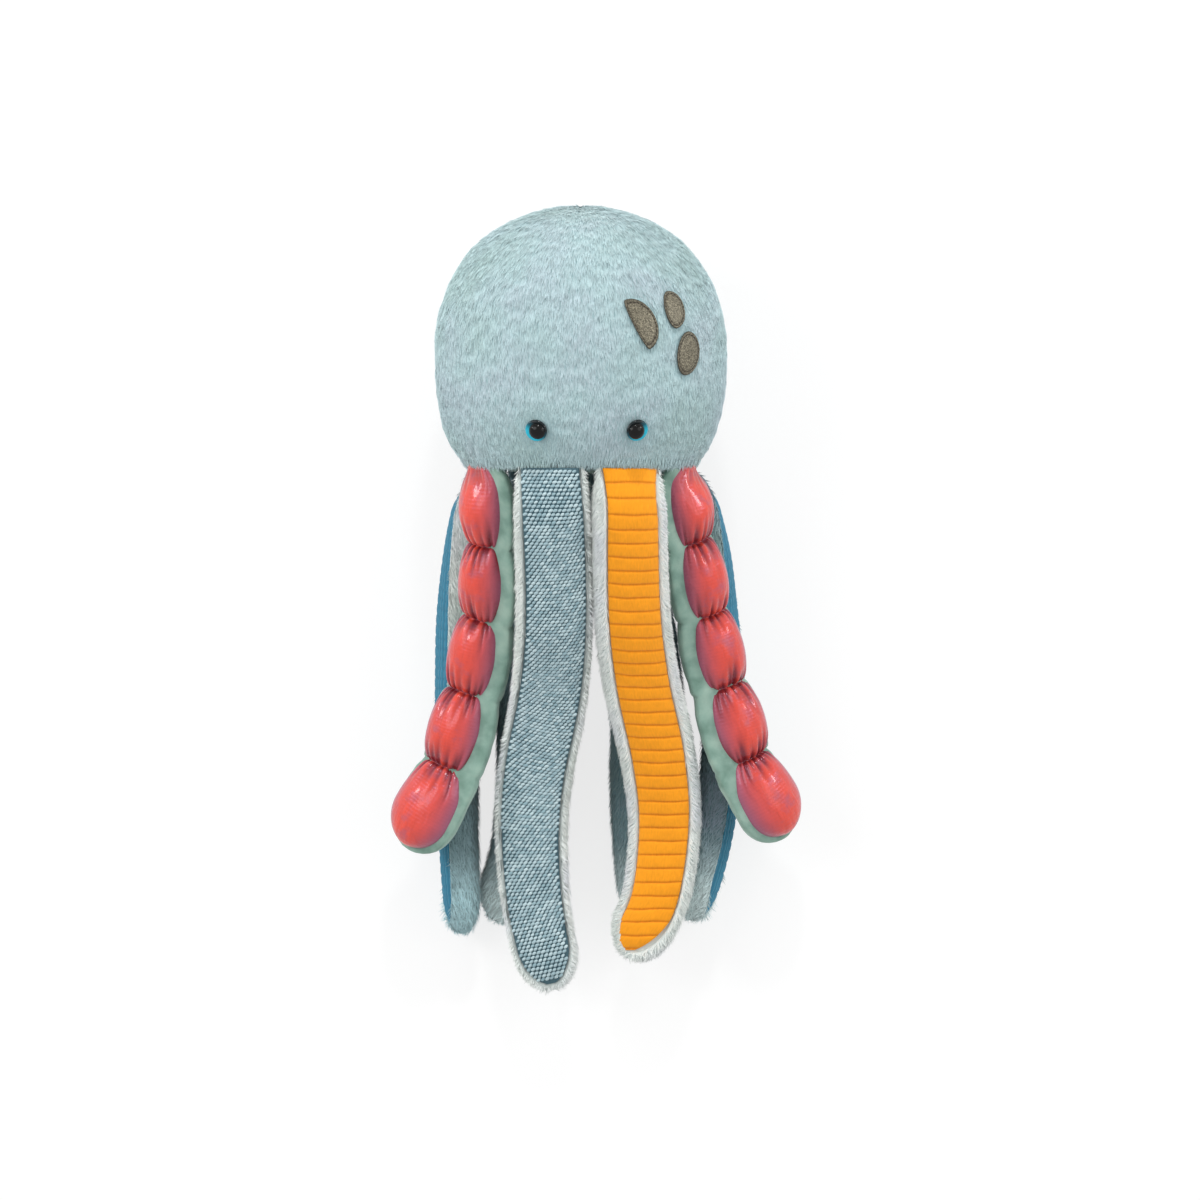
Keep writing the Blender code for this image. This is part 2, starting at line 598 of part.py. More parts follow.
class GatheredTentacle:
    """Velvet back with a satin front, which elastic draws into a row of puffed pods."""

    def __init__(self, way, support):
        self.way = Way(way, support, VELVET_WIDTH / 2, VELVET_THICKNESS)
        self.last = self.way.length - TIP_RIM * 0.5
        self.pitch = self.way.length / (POD_COUNT - 1 + LAST_POD_LENGTH)
        self.aside = math.copysign(SATIN_SHIFT, way[0])

    def pod(self, along):
        """0 at a neck and 1 at a pod's fullest, with the last pod the longest."""
        place = along / self.pitch
        if place >= POD_COUNT - 1:
            into = (place - POD_COUNT + 1) / LAST_POD_LENGTH
        else:
            into = place % 1.0
        if place < 0.5:
            return math.sin(math.pi * (0.28 + 0.22 * into / 0.5)) ** POD_FULLNESS
        into = min(into, 0.5) if place > POD_COUNT - 0.4 else into
        return max(0.0, math.sin(math.pi * into)) ** POD_FULLNESS

    def last_pod(self, along):
        """0 up to the last neck, rising to 1 inside the last pod."""
        into = min(1.0, max(0.0, (along / self.pitch - POD_COUNT + 1) / 0.35))
        return into * into * (3 - 2 * into)

    def stops(self):
        made = []
        for pod in range(POD_COUNT):
            length = self.pitch * (LAST_POD_LENGTH if pod == POD_COUNT - 1 else 1)
            made += [self.pitch * pod + length * i / POD_STATIONS for i in range(POD_STATIONS)]
        made = [stop for stop in made if stop < self.last - TIP_LENGTH * 0.5]
        return made + [self.last - TIP_LENGTH * share for share in (0.35, 0.12, 0.02)]

    def sizes(self, along):
        """Half-widths of velvet and satin, depth of the velvet and height of the satin."""
        root = min(1.0, along / ROOT_LENGTH)
        root = root * root * (3 - 2 * root)
        pod = self.pod(along)
        grow = 1 + POD_GROWTH * (along / self.way.length) ** 2
        end = round_end(along, self.last, TIP_LENGTH)
        last = self.last_pod(along)
        velvet = VELVET_WIDTH / 2 * (1 - VELVET_PINCH * (1 - pod)) * grow
        velvet *= 1 - (1 - LAST_VELVET) * last
        satin = SATIN_WIDTH / 2 * (POD_NECK + (1 - POD_NECK) * pod) * grow
        satin *= 1 + LAST_POD_FILL * last
        deep = VELVET_THICKNESS * (0.5 + 0.5 * root) * (1 - VELVET_PINCH * (1 - pod))
        high = SATIN_HEIGHT * (0.5 + 0.5 * root) * (0.34 + 0.66 * pod)
        full = max(end, 0.12)
        return velvet * full, satin * full * 0.98, deep * max(full, 0.3), high * max(full, 0.3)

    def ring(self, along, offsets):
        place, across, out = self.way.at(along)
        return [on_floor(place + across * u + out * v) for u, v in offsets]

    def satin_shift(self, along):
        """How far the satin sits towards the outer edge, so that the velvet shows inside it."""
        share = 1 - (1 - LAST_POD_SHIFT) * self.last_pod(along)
        return self.aside * share * round_end(along, self.last, TIP_LENGTH)

    def body_ring(self, along):
        velvet, satin, deep, high = self.sizes(along)
        core = satin - SATIN_THICKNESS - SEWN_GAP
        top = high - SATIN_THICKNESS - SEWN_GAP
        aside = self.satin_shift(along)
        offsets = [
            (aside - core * math.cos(turn), max(0.0, top) * math.sin(turn)) for turn in CORE_TURNS
        ]
        for i in range(BACK_POINTS):
            turn = math.pi * i / (BACK_POINTS - 1)
            outer = math.cos(turn) * aside > 0
            half = min(velvet, satin + abs(aside) + VELVET_MARGIN) if outer else velvet
            offsets.append((half * math.cos(turn), -deep * math.sin(turn)))
        return self.ring(along, offsets)

    def make_body(self, name, material):
        return loft(name, [self.body_ring(stop) for stop in self.stops()], material)

    def satin_ring(self, along, points):
        """Outer skin, pleated at the necks, then the inner skin back again."""
        _, satin, _, high = self.sizes(along)
        pleats = PLEAT_DEPTH * (1 - self.pod(along)) ** 0.8
        aside = self.satin_shift(along)
        offsets = []
        for i in range(points):
            turn = math.pi * i / (points - 1)
            inward = 1 - pleats * (i % 2) / high
            u = aside - satin * inward * math.cos(turn)
            offsets.append((u, high * inward * math.sin(turn) + SEWN_GAP))
        core, top = satin - SATIN_THICKNESS, high - SATIN_THICKNESS
        for turn in reversed(CORE_TURNS):
            u = aside - core * math.cos(turn)
            offsets.append((u, max(0.0, top) * math.sin(turn) + SEWN_GAP))
        return self.ring(along, offsets)

    def make_satin(self, name, material, points=9):
        last = self.last - TIP_LENGTH * 0.05
        stops = [stop for stop in self.stops() if stop < last - 0.001] + [last]
        rings = [self.satin_ring(stop, points) for stop in stops]
        return loft(name, rings, material, RELIEF_CRISPNESS)


def make_fur_tentacle(name, way, support, width, thickness, kind, fur, front):
    """One fur tentacle, with its woven, ribbed or corded panel."""
    panel_width, pitch, relief, points = {
        "woven": (WOVEN_WIDTH, WEAVE_PITCH, weave_relief, 7),
        "ribbed": (RIBBED_WIDTH, RIB_STEP, rib_relief, 5),
        "corded": (CORDED_WIDTH, CORD_STEP, cord_relief, 9),
    }[kind]
    made = FurTentacle(way, support, width, thickness, panel_width, pitch)
    made.make_body(f"{name}_fur", fur)
    steps = None if kind == "corded" else [pitch * i for i in range(int(made.panel_end / pitch) + 1)]
    made.make_panel(f"{name}_{kind}_panel", steps, relief, points, front)


def main():
    clear_scene()
    fur = cloth("pale_blue_fur", (0.40, 0.53, 0.56), 0.95)
    woven = cloth("woven_wool", (0.22, 0.33, 0.37), 0.9)
    ribbed = cloth("orange_jersey", (0.84, 0.28, 0.015), 0.85)
    corded = cloth("blue_corduroy", (0.05, 0.20, 0.30), 0.85)
    satin = cloth("coral_satin", (0.60, 0.10, 0.08), 0.35)
    velvet = cloth("mint_velvet", (0.37, 0.50, 0.43), 0.9)
    bronze = cloth("bronze_leathercloth", (0.16, 0.13, 0.09), 0.4, 0.5)
    black = cloth("black_eye_plastic", (0.01, 0.01, 0.01), 0.08)
    teal = cloth("teal_eye_plastic", (0.02, 0.20, 0.27), 0.15)
    white = cloth("white_washer_plastic", (0.75, 0.75, 0.72), 0.5)

    make_head(fur)
    make_closing_panel(velvet)
    for side, across in zip(("left", "right"), EYE_ACROSS):
        make_eye(side, across, black, teal, white)
    for name, size in SPOTS.items():
        make_spot(name, size, bronze)

    for name, way, kind, front in (
        ("front_left_tentacle", FRONT_LEFT_WAY, "woven", woven),
        ("front_right_tentacle", FRONT_RIGHT_WAY, "ribbed", ribbed),
    ):
        make_fur_tentacle(name, way, FRONT_SUPPORT, FUR_WIDTH, FUR_THICKNESS, kind, fur, front)
    for name, way in (
        ("side_left_tentacle", BLUE_LEFT_WAY),
        ("side_right_tentacle", BLUE_RIGHT_WAY),
    ):
        make_fur_tentacle(name, way, 0.0, SIDE_WIDTH, SIDE_THICKNESS, "corded", fur, corded)
    for name, way, kind, front in (
        ("back_left_tentacle", BACK_LEFT_WAY, "ribbed", ribbed),
        ("back_right_tentacle", BACK_RIGHT_WAY, "woven", woven),
    ):
        make_fur_tentacle(name, way, 0.0, FUR_WIDTH, FUR_THICKNESS, kind, fur, front)
    for name, way in (
        ("gathered_left_tentacle", RED_LEFT_WAY),
        ("gathered_right_tentacle", RED_RIGHT_WAY),
    ):
        made = GatheredTentacle(way, SIDE_SUPPORT)
        made.make_body(f"{name}_velvet", velvet)
        made.make_satin(f"{name}_satin", satin)


main()
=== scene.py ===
"""Plush jellyfish in its own fabrics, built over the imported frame.

Each stuffed piece is a dense closed skin that keeps to the solid it replaces.  Geometry nodes
grow the pile, the yarn floats, the quilted creases and the rim stitches on those skins.
Everything is in metres: X across the face, Y towards the crown, Z up from the floor.
"""

import math

import bpy
import numpy as np
from bpy.props import FloatProperty, FloatVectorProperty, IntProperty, PointerProperty
from mathutils import Matrix, Vector, noise


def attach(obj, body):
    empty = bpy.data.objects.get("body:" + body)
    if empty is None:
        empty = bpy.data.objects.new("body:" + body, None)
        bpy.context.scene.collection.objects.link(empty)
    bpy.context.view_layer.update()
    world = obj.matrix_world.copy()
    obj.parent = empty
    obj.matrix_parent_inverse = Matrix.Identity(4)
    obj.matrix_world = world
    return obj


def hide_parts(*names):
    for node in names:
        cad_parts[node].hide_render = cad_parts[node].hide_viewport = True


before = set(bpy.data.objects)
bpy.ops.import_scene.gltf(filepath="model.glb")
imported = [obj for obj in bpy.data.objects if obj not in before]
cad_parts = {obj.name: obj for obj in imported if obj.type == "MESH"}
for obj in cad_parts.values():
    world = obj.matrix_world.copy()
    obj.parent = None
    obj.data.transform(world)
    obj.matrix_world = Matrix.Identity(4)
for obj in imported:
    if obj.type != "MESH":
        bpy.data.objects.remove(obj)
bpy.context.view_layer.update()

bl_info = {
    "name": "Plush jellyfish",
    "version": (1, 0, 0),
    "blender": (4, 5, 0),
    "location": "View3D > Sidebar > Jellyfish",
    "description": "Builds a stuffed jellyfish with eight tentacles in five fabrics",
    "category": "Object",
}

MM = 0.001
SEWN_GAP = 0.3 * MM

# Head, as in the part's source.
HEAD_WIDTH = 0.147
HEAD_DEPTH = 0.140
HEAD_SETTLED = 0.004
CROWN = (0.0728, 2.12)
JAW = (0.075, 2.8)
UNDERSIDE_DROP = 0.059
UNDERSIDE_ROUNDING = 0.003
HEAD_AXIS_HEIGHT = HEAD_DEPTH / 2 - HEAD_SETTLED
DEPTH_RATIO = HEAD_DEPTH / HEAD_WIDTH
GORES = 8
GORE_TURN = math.radians(-3)

# Eyes and spots.
EYE_ACROSS = {"left": -0.0212, "right": 0.0270}
EYE_DROP = 0.0405
PUPIL_RADIUS = 0.0042
PUPIL_HEIGHT = 0.0030
IRIS_RADIUS = 0.0056
IRIS_THICKNESS = 0.0010
IRIS_SHIFT = 0.0006
SHANK_RADIUS = 0.0016
SHANK_LENGTH = 0.0085
SPOTS = {
    "spot_large": ((0.0215, 0.0238), (0.0340, -0.0005), 0.0098, 0.0016),
    "spot_upper": ((0.0425, 0.0285), (0.0475, 0.0100), 0.0062, 0.0034),
    "spot_lower": ((0.0535, 0.0087), (0.0513, -0.0132), 0.0062, 0.0047),
}
CLOSING_RADIUS = 0.036
CLOSING_THICKNESS = 0.0015

# Tentacles, as in the part's source.
RING_INSET = 0.0062
ROOT_THICKNESS = 0.0110
ROOT_LENGTH = 0.026
FUR_SIZE = (0.0390, 0.0210)
SIDE_SIZE = (0.0340, 0.0220)
VELVET_WIDTH = 0.0335
VELVET_THICKNESS = 0.0130
SATIN_WIDTH = 0.0268
SATIN_HEIGHT = 0.0125
PANEL_THICKNESS = 0.0018
PANEL_WIDTH = {"woven": 0.0290, "ribbed": 0.0262, "corded": 0.0245}
SECTION_SQUARENESS = 2.3
TIP_LENGTH = 0.020
TIP_RIM = 0.0050
TIP_TAPER = 0.82
FLOOR_SAG = 0.0005
POD_COUNT = 5
LAST_POD_LENGTH = 1.25
POD_GROWTH = 0.30
POD_NECK = 0.60
POD_FULLNESS = 0.42
VELVET_PINCH = 0.13
SATIN_THICKNESS = 0.0014
VELVET_TIP = 0.0026
SATIN_SHIFT = 0.0024
VELVET_MARGIN = 0.0010
LAST_POD_FILL = 0.075
LAST_POD_SHIFT = 0.45
LAST_VELVET = 0.93
LAYER_GAP = 0.0008
FRONT_SUPPORT = FUR_SIZE[1] + LAYER_GAP
SIDE_SUPPORT = SIDE_SIZE[0] + LAYER_GAP
ROOT_Y = -UNDERSIDE_DROP - SEWN_GAP
SEWN_IN = 0.0025

# What only the fabric has: the pile's clumps, seams and clearings, then the panels' cut as
# (width, flare under the head), their rims and floats, and the satin's root and pleats.
CLUMP = 2.6 * MM
SEAM_WIDTH = 1.1 * MM
SEAM_DEPTH = 0.6 * MM
SWELL = 34 * MM
SWELL_DEPTH = 0.7 * MM
EYE_CLEARING = 5.3 * MM
SPOT_SHADE = (0, 0.8, 1.6, 2.4, 3.6, 4.8)
PANEL_CUT = {"woven": (1.05, 0.08), "ribbed": (1.0, 0.25), "corded": (1.0, 0.0)}
FLARE_LENGTH = 18 * MM
RIM_PUFF = 1.9 * MM
RIM_ROOT = 12 * MM
FLOAT_SIZE = (3.0 * MM, 1.8 * MM, 1.2 * MM)
FLOAT_LIFT = 0.25 * MM
VELVET_RIM = 3.2 * MM
SATIN_ROOT = 35 * MM
SATIN_ROOT_WIDER = 0.12
SATIN_ROOT_ASIDE = 0.4
PLEAT_WIDTH = (0.07, 0.16)
PLEAT_REACH = (8 * MM, 22 * MM)
PLEAT_DEPTH = (1.2 * MM, 3.4 * MM)

# Each tentacle's way: the angle of its root on the ring from the front, then points of (drift
# across in mm, way down from the root in mm, share of the drop done, facing in degrees).
FRONT_LEFT_WAY = (-16.2, [
    (0.2, 20, 0.05, 2), (1, 71, 0.32, 8), (-1.2, 111, 0.6, 2), (-8, 151, 0.83, -5),
    (-10.1, 181, 0.94, -8), (-8, 216, 1, -8), (-2.8, 244, 1.03, -8), (1.5, 260.5, 1.1, -8),
])
FRONT_RIGHT_WAY = (26.2, [
    (0.4, 20, 0.05, 18), (2.2, 71, 0.32, 10), (7, 106, 0.56, 4), (15.5, 144, 0.78, 0),
    (19, 176, 0.91, -3), (15.5, 211, 0.98, -5), (7.2, 232, 1.01, -5), (0, 245, 1.05, -5),
])
RED_LEFT_WAY = (-66.0, [
    (1.2, 14, 0.03, -46), (1.2, 56, 0.4, -38), (-3.5, 93, 0.76, -31), (-13, 131, 0.98, -30),
    (-20.5, 154, 1.06, -32), (-32.5, 177, 1.2, -35), (-39, 193, 1.34, -36),
])
RED_RIGHT_WAY = (72.0, [
    (0.7, 13, 0.03, 46), (8.4, 53, 0.4, 38), (16.5, 91, 0.76, 31), (26.2, 126, 0.98, 32),
    (33.8, 149, 1.1, 36), (45.3, 170, 1.3, 40), (53, 187, 1.5, 41),
])
BLUE_LEFT_WAY = (-112.0, [
    (-2.8, 10, 0.05, -106), (-8.8, 36, 0.45, -90), (-12.8, 71, 0.85, -79), (-13.8, 106, 1, -78),
    (-13.8, 146, 1, -80), (-12.8, 191, 1.03, -80), (-11.3, 221, 1.06, -80),
    (-11, 233.5, 1.08, -80),
])
BLUE_RIGHT_WAY = (112.0, [
    (7.5, 12, 0.05, 106), (15.5, 41, 0.45, 90), (19, 71, 0.85, 79), (22.5, 106, 1, 78),
    (23.2, 131, 1, 80), (21.2, 159, 1, 80), (16.8, 189, 1.03, 80), (10, 215, 1.06, 80),
    (6, 226.5, 1.08, 80),
])
BACK_LEFT_WAY = (-157.0, [
    (-0.2, 20, 0.25, -163), (-1.7, 70, 1, -178), (-3, 120, 1, -180), (-4.2, 156, 1, -180),
    (-7.2, 186, 1, -180), (-13.2, 207, 1, -180), (-20, 220, 1, -180), (-24.6, 226.5, 1, -180),
])
BACK_RIGHT_WAY = (160.0, [
    (1.2, 20, 0.25, 164), (6.2, 56, 1, 176), (12.2, 91, 1, 180), (15.7, 127, 1, 180),
    (14.7, 156, 1, 180), (15.2, 186, 1, 180), (16.5, 209, 1, 180), (17.5, 228.5, 1, 180),
])


def linear(code):
    """A hex colour as drawn on a screen, turned to the linear values that shaders take."""
    parts = [int(code[i:i + 2], 16) / 255 for i in (1, 3, 5)]
    return tuple(c / 12.92 if c <= 0.04045 else ((c + 0.055) / 1.055) ** 2.4 for c in parts)


def colour_prop(name, description, code):
    return FloatVectorProperty(
        name=name, description=description, default=linear(code), subtype="COLOR", min=0, max=1,
    )


def number_prop(name, description, default, **more):
    return FloatProperty(name=name, description=description, default=default, min=0, **more)


def length_prop(name, description, default):
    return number_prop(name, description, default, unit="LENGTH", precision=5)


class PileSettings(bpy.types.PropertyGroup):
    tuft_length: length_prop("Tuft length", "Length of one tuft of pile", 4.2 * MM)
    tuft_width: length_prop("Tuft width", "Width of one tuft at its root", 0.74 * MM)
    tuft_rise: length_prop("Tuft rise", "How far a tuft's tip stands off the cloth", 0.35 * MM)
    clump_depth: length_prop("Clump depth", "Depth of the dimples between clumps", 0.4 * MM)
    pile_depth: length_prop("Pile depth", "How far the cloth lies under the pile's tips", 0.9 * MM)
    head_density: number_prop("Head density", "Tufts per square metre of the head's face", 1.7e6)
    edge_density: number_prop("Edge density", "Tufts per square metre of its low edge", 2.4e6)
    tentacle_density: number_prop("Rim density", "Tufts per square metre of a fur rim", 1.7e6)
    seed: IntProperty(name="Seed", description="Seed of the pile's places", default=7, min=0)
    aqua: colour_prop("Aqua", "Main tint of the head's pile", "#c0d8db")
    lavender: colour_prop("Lavender", "Cool patches in the head's pile", "#c4d5dc")
    moss: colour_prop("Moss", "Warm grey-green patches in the head's pile", "#b8d2d1")
    # The root colours are painted shade: the pile darkened where the tufts shade each other near the
    # ground.
    root: colour_prop("Root", "Pile between the tufts, near the knitted ground", "#98b4b8")
    rim: colour_prop("Rim pile", "Whiter pile beside the front panels", "#f3f6f3")
    # Painted shade between the whiter tufts.
    rim_root: colour_prop("Rim root", "Ground of the whiter pile", "#d5dedb")
    # Painted shade: the left side tentacle's pile darkened away from the head, where it lies in shade.
    side_shade: colour_prop("Darkened pile", "Pile of the left side tentacle near its tip", "#95b0b6")
    # Painted light: the left side tentacle's end painted paler, where it comes out of the shade.
    tip: colour_prop("Tip", "Paler pile at the left side tentacle's end", "#b6d6db")
    # Painted shade: a greyer copy of the same plush for the other side tentacle and the ones behind.
    shaded: colour_prop("Shaded pile", "Greyer pile of the tentacles behind", "#9db8bd")
    # Painted light: the ends of those tentacles painted paler.
    painted_light_tip: colour_prop("Shaded tip", "Paler pile at the ends of the others", "#dcecec")
    # Painted shade between the greyer tufts.
    shaded_root: colour_prop("Shaded root", "Ground of the greyer pile", "#7e9aa1")


class ClothSettings(bpy.types.PropertyGroup):
    float_across: length_prop("Float pitch across", "From one yarn float to the next", 2.3 * MM)
    float_down: length_prop("Float pitch down", "From one row of floats to the next", 1.75 * MM)
    rib_pitch: length_prop("Rib pitch", "From one quilted crease to the next", 7.2 * MM)
    rib_depth: length_prop("Rib depth", "Depth of a quilted crease", 0.65 * MM)
    rib_crease: length_prop("Crease width", "Width of a quilted crease", 0.5 * MM)
    cord_pitch: length_prop("Cord pitch", "From one cord of the corduroy to the next", 3.0 * MM)
    cord_depth: length_prop("Cord depth", "Depth between two cords", 0.35 * MM)
    pinch_pitch: length_prop("Pinch pitch", "From one pinch across the cords to the next", 5.2 * MM)
    pinch_depth: length_prop("Pinch depth", "Depth of a tacked pinch", 0.35 * MM)
    stitch_length: length_prop("Stitch length", "One stitch on a spot's rim", 1.3 * MM)
    yarn: colour_prop("Yarn", "Light floats of the woven wool", "#a6bfc6")
    ground: colour_prop("Weave ground", "Dark yarn between the floats", "#48656f")
    orange: colour_prop("Orange", "Quilted jersey", "#fa9f16")
    # Painted shade: the jersey darkened inside its creases.
    orange_crease_shade: colour_prop("Deep orange", "Jersey inside the creases", "#c97410")
    blue: colour_prop("Blue", "Corduroy", "#367f9b")
    # Painted shade: the corduroy darkened between its cords and at its pinches.
    blue_groove_shade: colour_prop("Deep blue", "Ground between the cords", "#22566f")
    coral: colour_prop("Coral", "Satin of the gathered pods", "#dc4a33")
    # Painted sheen and shade: mauve where the satin turns from the eye, at its edges and in patches.
    coral_sheen_shade: colour_prop("Coral edge", "Satin near its seams, where it turns to mauve", "#8f5670")
    # Painted shade: the satin darkened inside the gathers.
    coral_gather_shade: colour_prop("Deep coral", "Satin inside the gathers", "#7a2226")
    satin_light: colour_prop("Satin light", "Tint of the satin's sheen", "#b9a4d0")
    mint: colour_prop("Mint", "Velvet of the gathered backs", "#88a79a")
    mint_deep: colour_prop("Deep mint", "Velvet where it is brushed against its lie", "#6d8d80")
    bronze: colour_prop("Bronze", "Leather-cloth of the spots", "#6a6556")
    # The thread's own colour, and painted shade on the spots' rims.
    bronze_thread_and_shade: colour_prop("Deep bronze", "Rim and stitches of the spots", "#2f2920")


class EyeSettings(bpy.types.PropertyGroup):
    black: colour_prop("Black", "Pupil", "#060606")
    # Painted light and shade: the iris runs from near black through teal to bright cyan on its low
    # outer side.
    teal: colour_prop("Teal", "Deep side of the iris", "#06505f")
    cyan: colour_prop("Cyan", "Bright side of the iris", "#27b5cf")
    washer: colour_prop("Washer", "Lock washer inside the head", "#e4e4df")


class StageSettings(bpy.types.PropertyGroup):
    view_width: length_prop("View width", "What the camera's square view spans", 0.600)
    camera_height: length_prop("Camera height", "Height of the camera over the floor", 10.0)
    key_power: number_prop("Key", "Soft light on the left", 11.0, unit="POWER")
    fill_power: number_prop("Fill", "Soft light on the right", 5.0, unit="POWER")
    crown_power: number_prop("Crown", "Small light past the crown", 7.5, unit="POWER")
    side_power: number_prop("Sides", "Low light at each side", 4.0, unit="POWER")
    daylight: number_prop("Daylight", "Even light from all round", 0.62)
    shadow: number_prop("Shadow", "How deep the shadow on the floor looks", 0.25, max=1)
    floor: colour_prop("Floor", "Pale floor", "#f4f4f4")


class JellyfishSettings(bpy.types.PropertyGroup):
    pile: PointerProperty(type=PileSettings)
    cloth: PointerProperty(type=ClothSettings)
    eye: PointerProperty(type=EyeSettings)
    stage: PointerProperty(type=StageSettings)


# Nodes and materials.

def add(tree, kind, links=(), **settings):
    """Adds one node with its settings. links gives each input a number, a socket or a node."""
    made = tree.nodes.new(kind)
    for name, value in settings.items():
        setattr(made, name, value)
    pairs = links.items() if isinstance(links, dict) else enumerate(links)
    for key, value in pairs:
        if isinstance(value, bpy.types.Node):
            value = next(socket for socket in value.outputs if socket.enabled)
        if isinstance(value, bpy.types.NodeSocket):
            tree.links.new(value, made.inputs[key])
        elif value is not None:
            made.inputs[key].default_value = value
    return made


def rgba(colour):
    return (*colour, 1.0)


def stops(ramp, places):
    """Gives a colour ramp its stops, as (place, colour) pairs, and returns its colour."""
    elements = ramp.color_ramp.elements
    while len(elements) < len(places):
        elements.new(0.5)
    for element, (place, colour) in zip(elements, places):
        element.position = place
        element.color = rgba(colour)
    return ramp.outputs[0]


def principled(name, **values):
    """A new material with the values that are even all over, its node tree and its place in
    Object coordinates."""
    made = bpy.data.materials.new(name)
    made.use_nodes = True
    tree = made.node_tree
    for label, value in values.items():
        tree.nodes["Principled BSDF"].inputs[label.replace("_", " ")].default_value = value
    return made, tree, add(tree, "ShaderNodeTexCoord").outputs["Object"]


def surface(made, colour, *reliefs):
    """Ends a material: its colour, and its bumps as (height, strength, depth)."""
    tree = made.node_tree
    shader = tree.nodes["Principled BSDF"]
    tree.links.new(colour, shader.inputs["Base Color"])
    bump = None
    for height, strength, depth in reliefs:
        bump = add(tree, "ShaderNodeBump", {
            "Strength": strength, "Distance": depth, "Height": height, "Normal": bump,
        })
    if reliefs:
        tree.links.new(bump.outputs[0], shader.inputs["Normal"])
    return made


def toned(tree, colour, grey):
    """A colour made lighter or darker by one number."""
    grey = add(tree, "ShaderNodeCombineColor", (grey, grey, grey))
    both = {0: 1.0, 6: colour, 7: grey}
    return add(tree, "ShaderNodeMix", both, data_type="RGBA", blend_type="MULTIPLY").outputs[2]


def plush_pile(name, light, cool, warm, root, low=()):
    """Knitted polyester plush: matt, soft-edged, mottled by the lie of its pile, with painted shade
    that darkens the roots between the tufts, and a faint bloom at grazing angles. low lists the
    tints of painted shade and painted light that it turns to away from the head, each with the y
    where it starts and the y where it is full."""
    made, tree, place = principled(
        name, Roughness=0.92, Sheen_Weight=0.35, Sheen_Roughness=0.5, Specular_IOR_Level=0.1,
    )
    # Patches of about 40 mm, where the pile leans another way.
    patch = add(tree, "ShaderNodeTexNoise", {"Vector": place, "Scale": 25, "Detail": 2.5})
    tint = stops(add(tree, "ShaderNodeValToRGB", (patch,)), [
        (0.34, warm), (0.50, light), (0.66, cool),
    ])
    # Clumps of about 4 mm, and one tuft in three that is darker than the rest.
    clump = add(tree, "ShaderNodeTexNoise", {"Vector": place, "Scale": 240, "Detail": 2})
    clump = add(tree, "ShaderNodeMapRange", {0: clump, 1: 0.3, 2: 0.7, 3: 0.89, 4: 1.06})
    tone = add(tree, "ShaderNodeAttribute", attribute_name="tone").outputs["Fac"]
    tone = add(tree, "ShaderNodeMapRange", {0: tone, 1: 0, 2: 0.35, 3: 0.68, 4: 1.03})
    shade = add(tree, "ShaderNodeMath", (clump, tone), operation="MULTIPLY")
    tint = toned(tree, tint, shade)
    # Painted shade: each tuft runs from the root colour at its root to the tint at its tip.
    tip = add(tree, "ShaderNodeAttribute", attribute_name="tip").outputs["Fac"]
    tip = add(tree, "ShaderNodeMath", (tip, 0.45), operation="POWER")
    pile = add(tree, "ShaderNodeMix", {0: tip, 6: rgba(root), 7: tint}, data_type="RGBA")
    # The low tints: painted shade lower down a tentacle, and painted light at its end.
    for other, start, full in low:
        away = add(tree, "ShaderNodeSeparateXYZ", (place,)).outputs["Y"]
        away = add(tree, "ShaderNodeMapRange", {0: away, 1: start, 2: full, 3: 0, 4: 1})
        both = {0: away, 6: pile.outputs[2], 7: toned(tree, rgba(other), shade)}
        pile = add(tree, "ShaderNodeMix", both, data_type="RGBA")
    return surface(made, pile.outputs[2])


def creased_cloth(name, light, deep, thread):
    """A cloth with painted shade, darker where the relief tree has sunk it and at its pinches,
    with its thread as bump. thread is (threads for each metre across, along, depth)."""
    made, tree, place = principled(
        name, Roughness=0.82, Sheen_Weight=0.15, Specular_IOR_Level=0.25,
    )
    # Painted shade: creases and tacked pinches turn towards the deep colour.
    crease = add(tree, "ShaderNodeAttribute", attribute_name="crease").outputs["Fac"]
    pinch = add(tree, "ShaderNodeAttribute", attribute_name="painted_shade").outputs["Fac"]
    crease = add(tree, "ShaderNodeMath", (crease, 0.6), operation="MULTIPLY")
    crease = add(tree, "ShaderNodeMath", (crease, pinch), operation="MAXIMUM")
    mottle = add(tree, "ShaderNodeTexNoise", {"Vector": place, "Scale": 160, "Detail": 3})
    mottle = add(tree, "ShaderNodeMapRange", {0: mottle, 1: 0.3, 2: 0.7, 3: 0.95, 4: 1.04})
    both = {0: crease, 6: toned(tree, rgba(light), mottle), 7: rgba(deep)}
    painted_shade = add(tree, "ShaderNodeMix", both, data_type="RGBA").outputs[2]
    lie = add(tree, "ShaderNodeAttribute", attribute_name="cloth").outputs["Vector"]
    across, along, depth = thread
    lie = add(tree, "ShaderNodeVectorMath", (lie, (across, along, 1)), operation="MULTIPLY")
    weave = add(tree, "ShaderNodeTexNoise", {"Vector": lie, "Scale": 1.0, "Detail": 1})
    shade = add(tree, "ShaderNodeMapRange", {0: weave, 1: 0.3, 2: 0.7, 3: 0.92, 4: 1.04})
    return surface(made, toned(tree, painted_shade, shade), (weave, 0.5, depth))


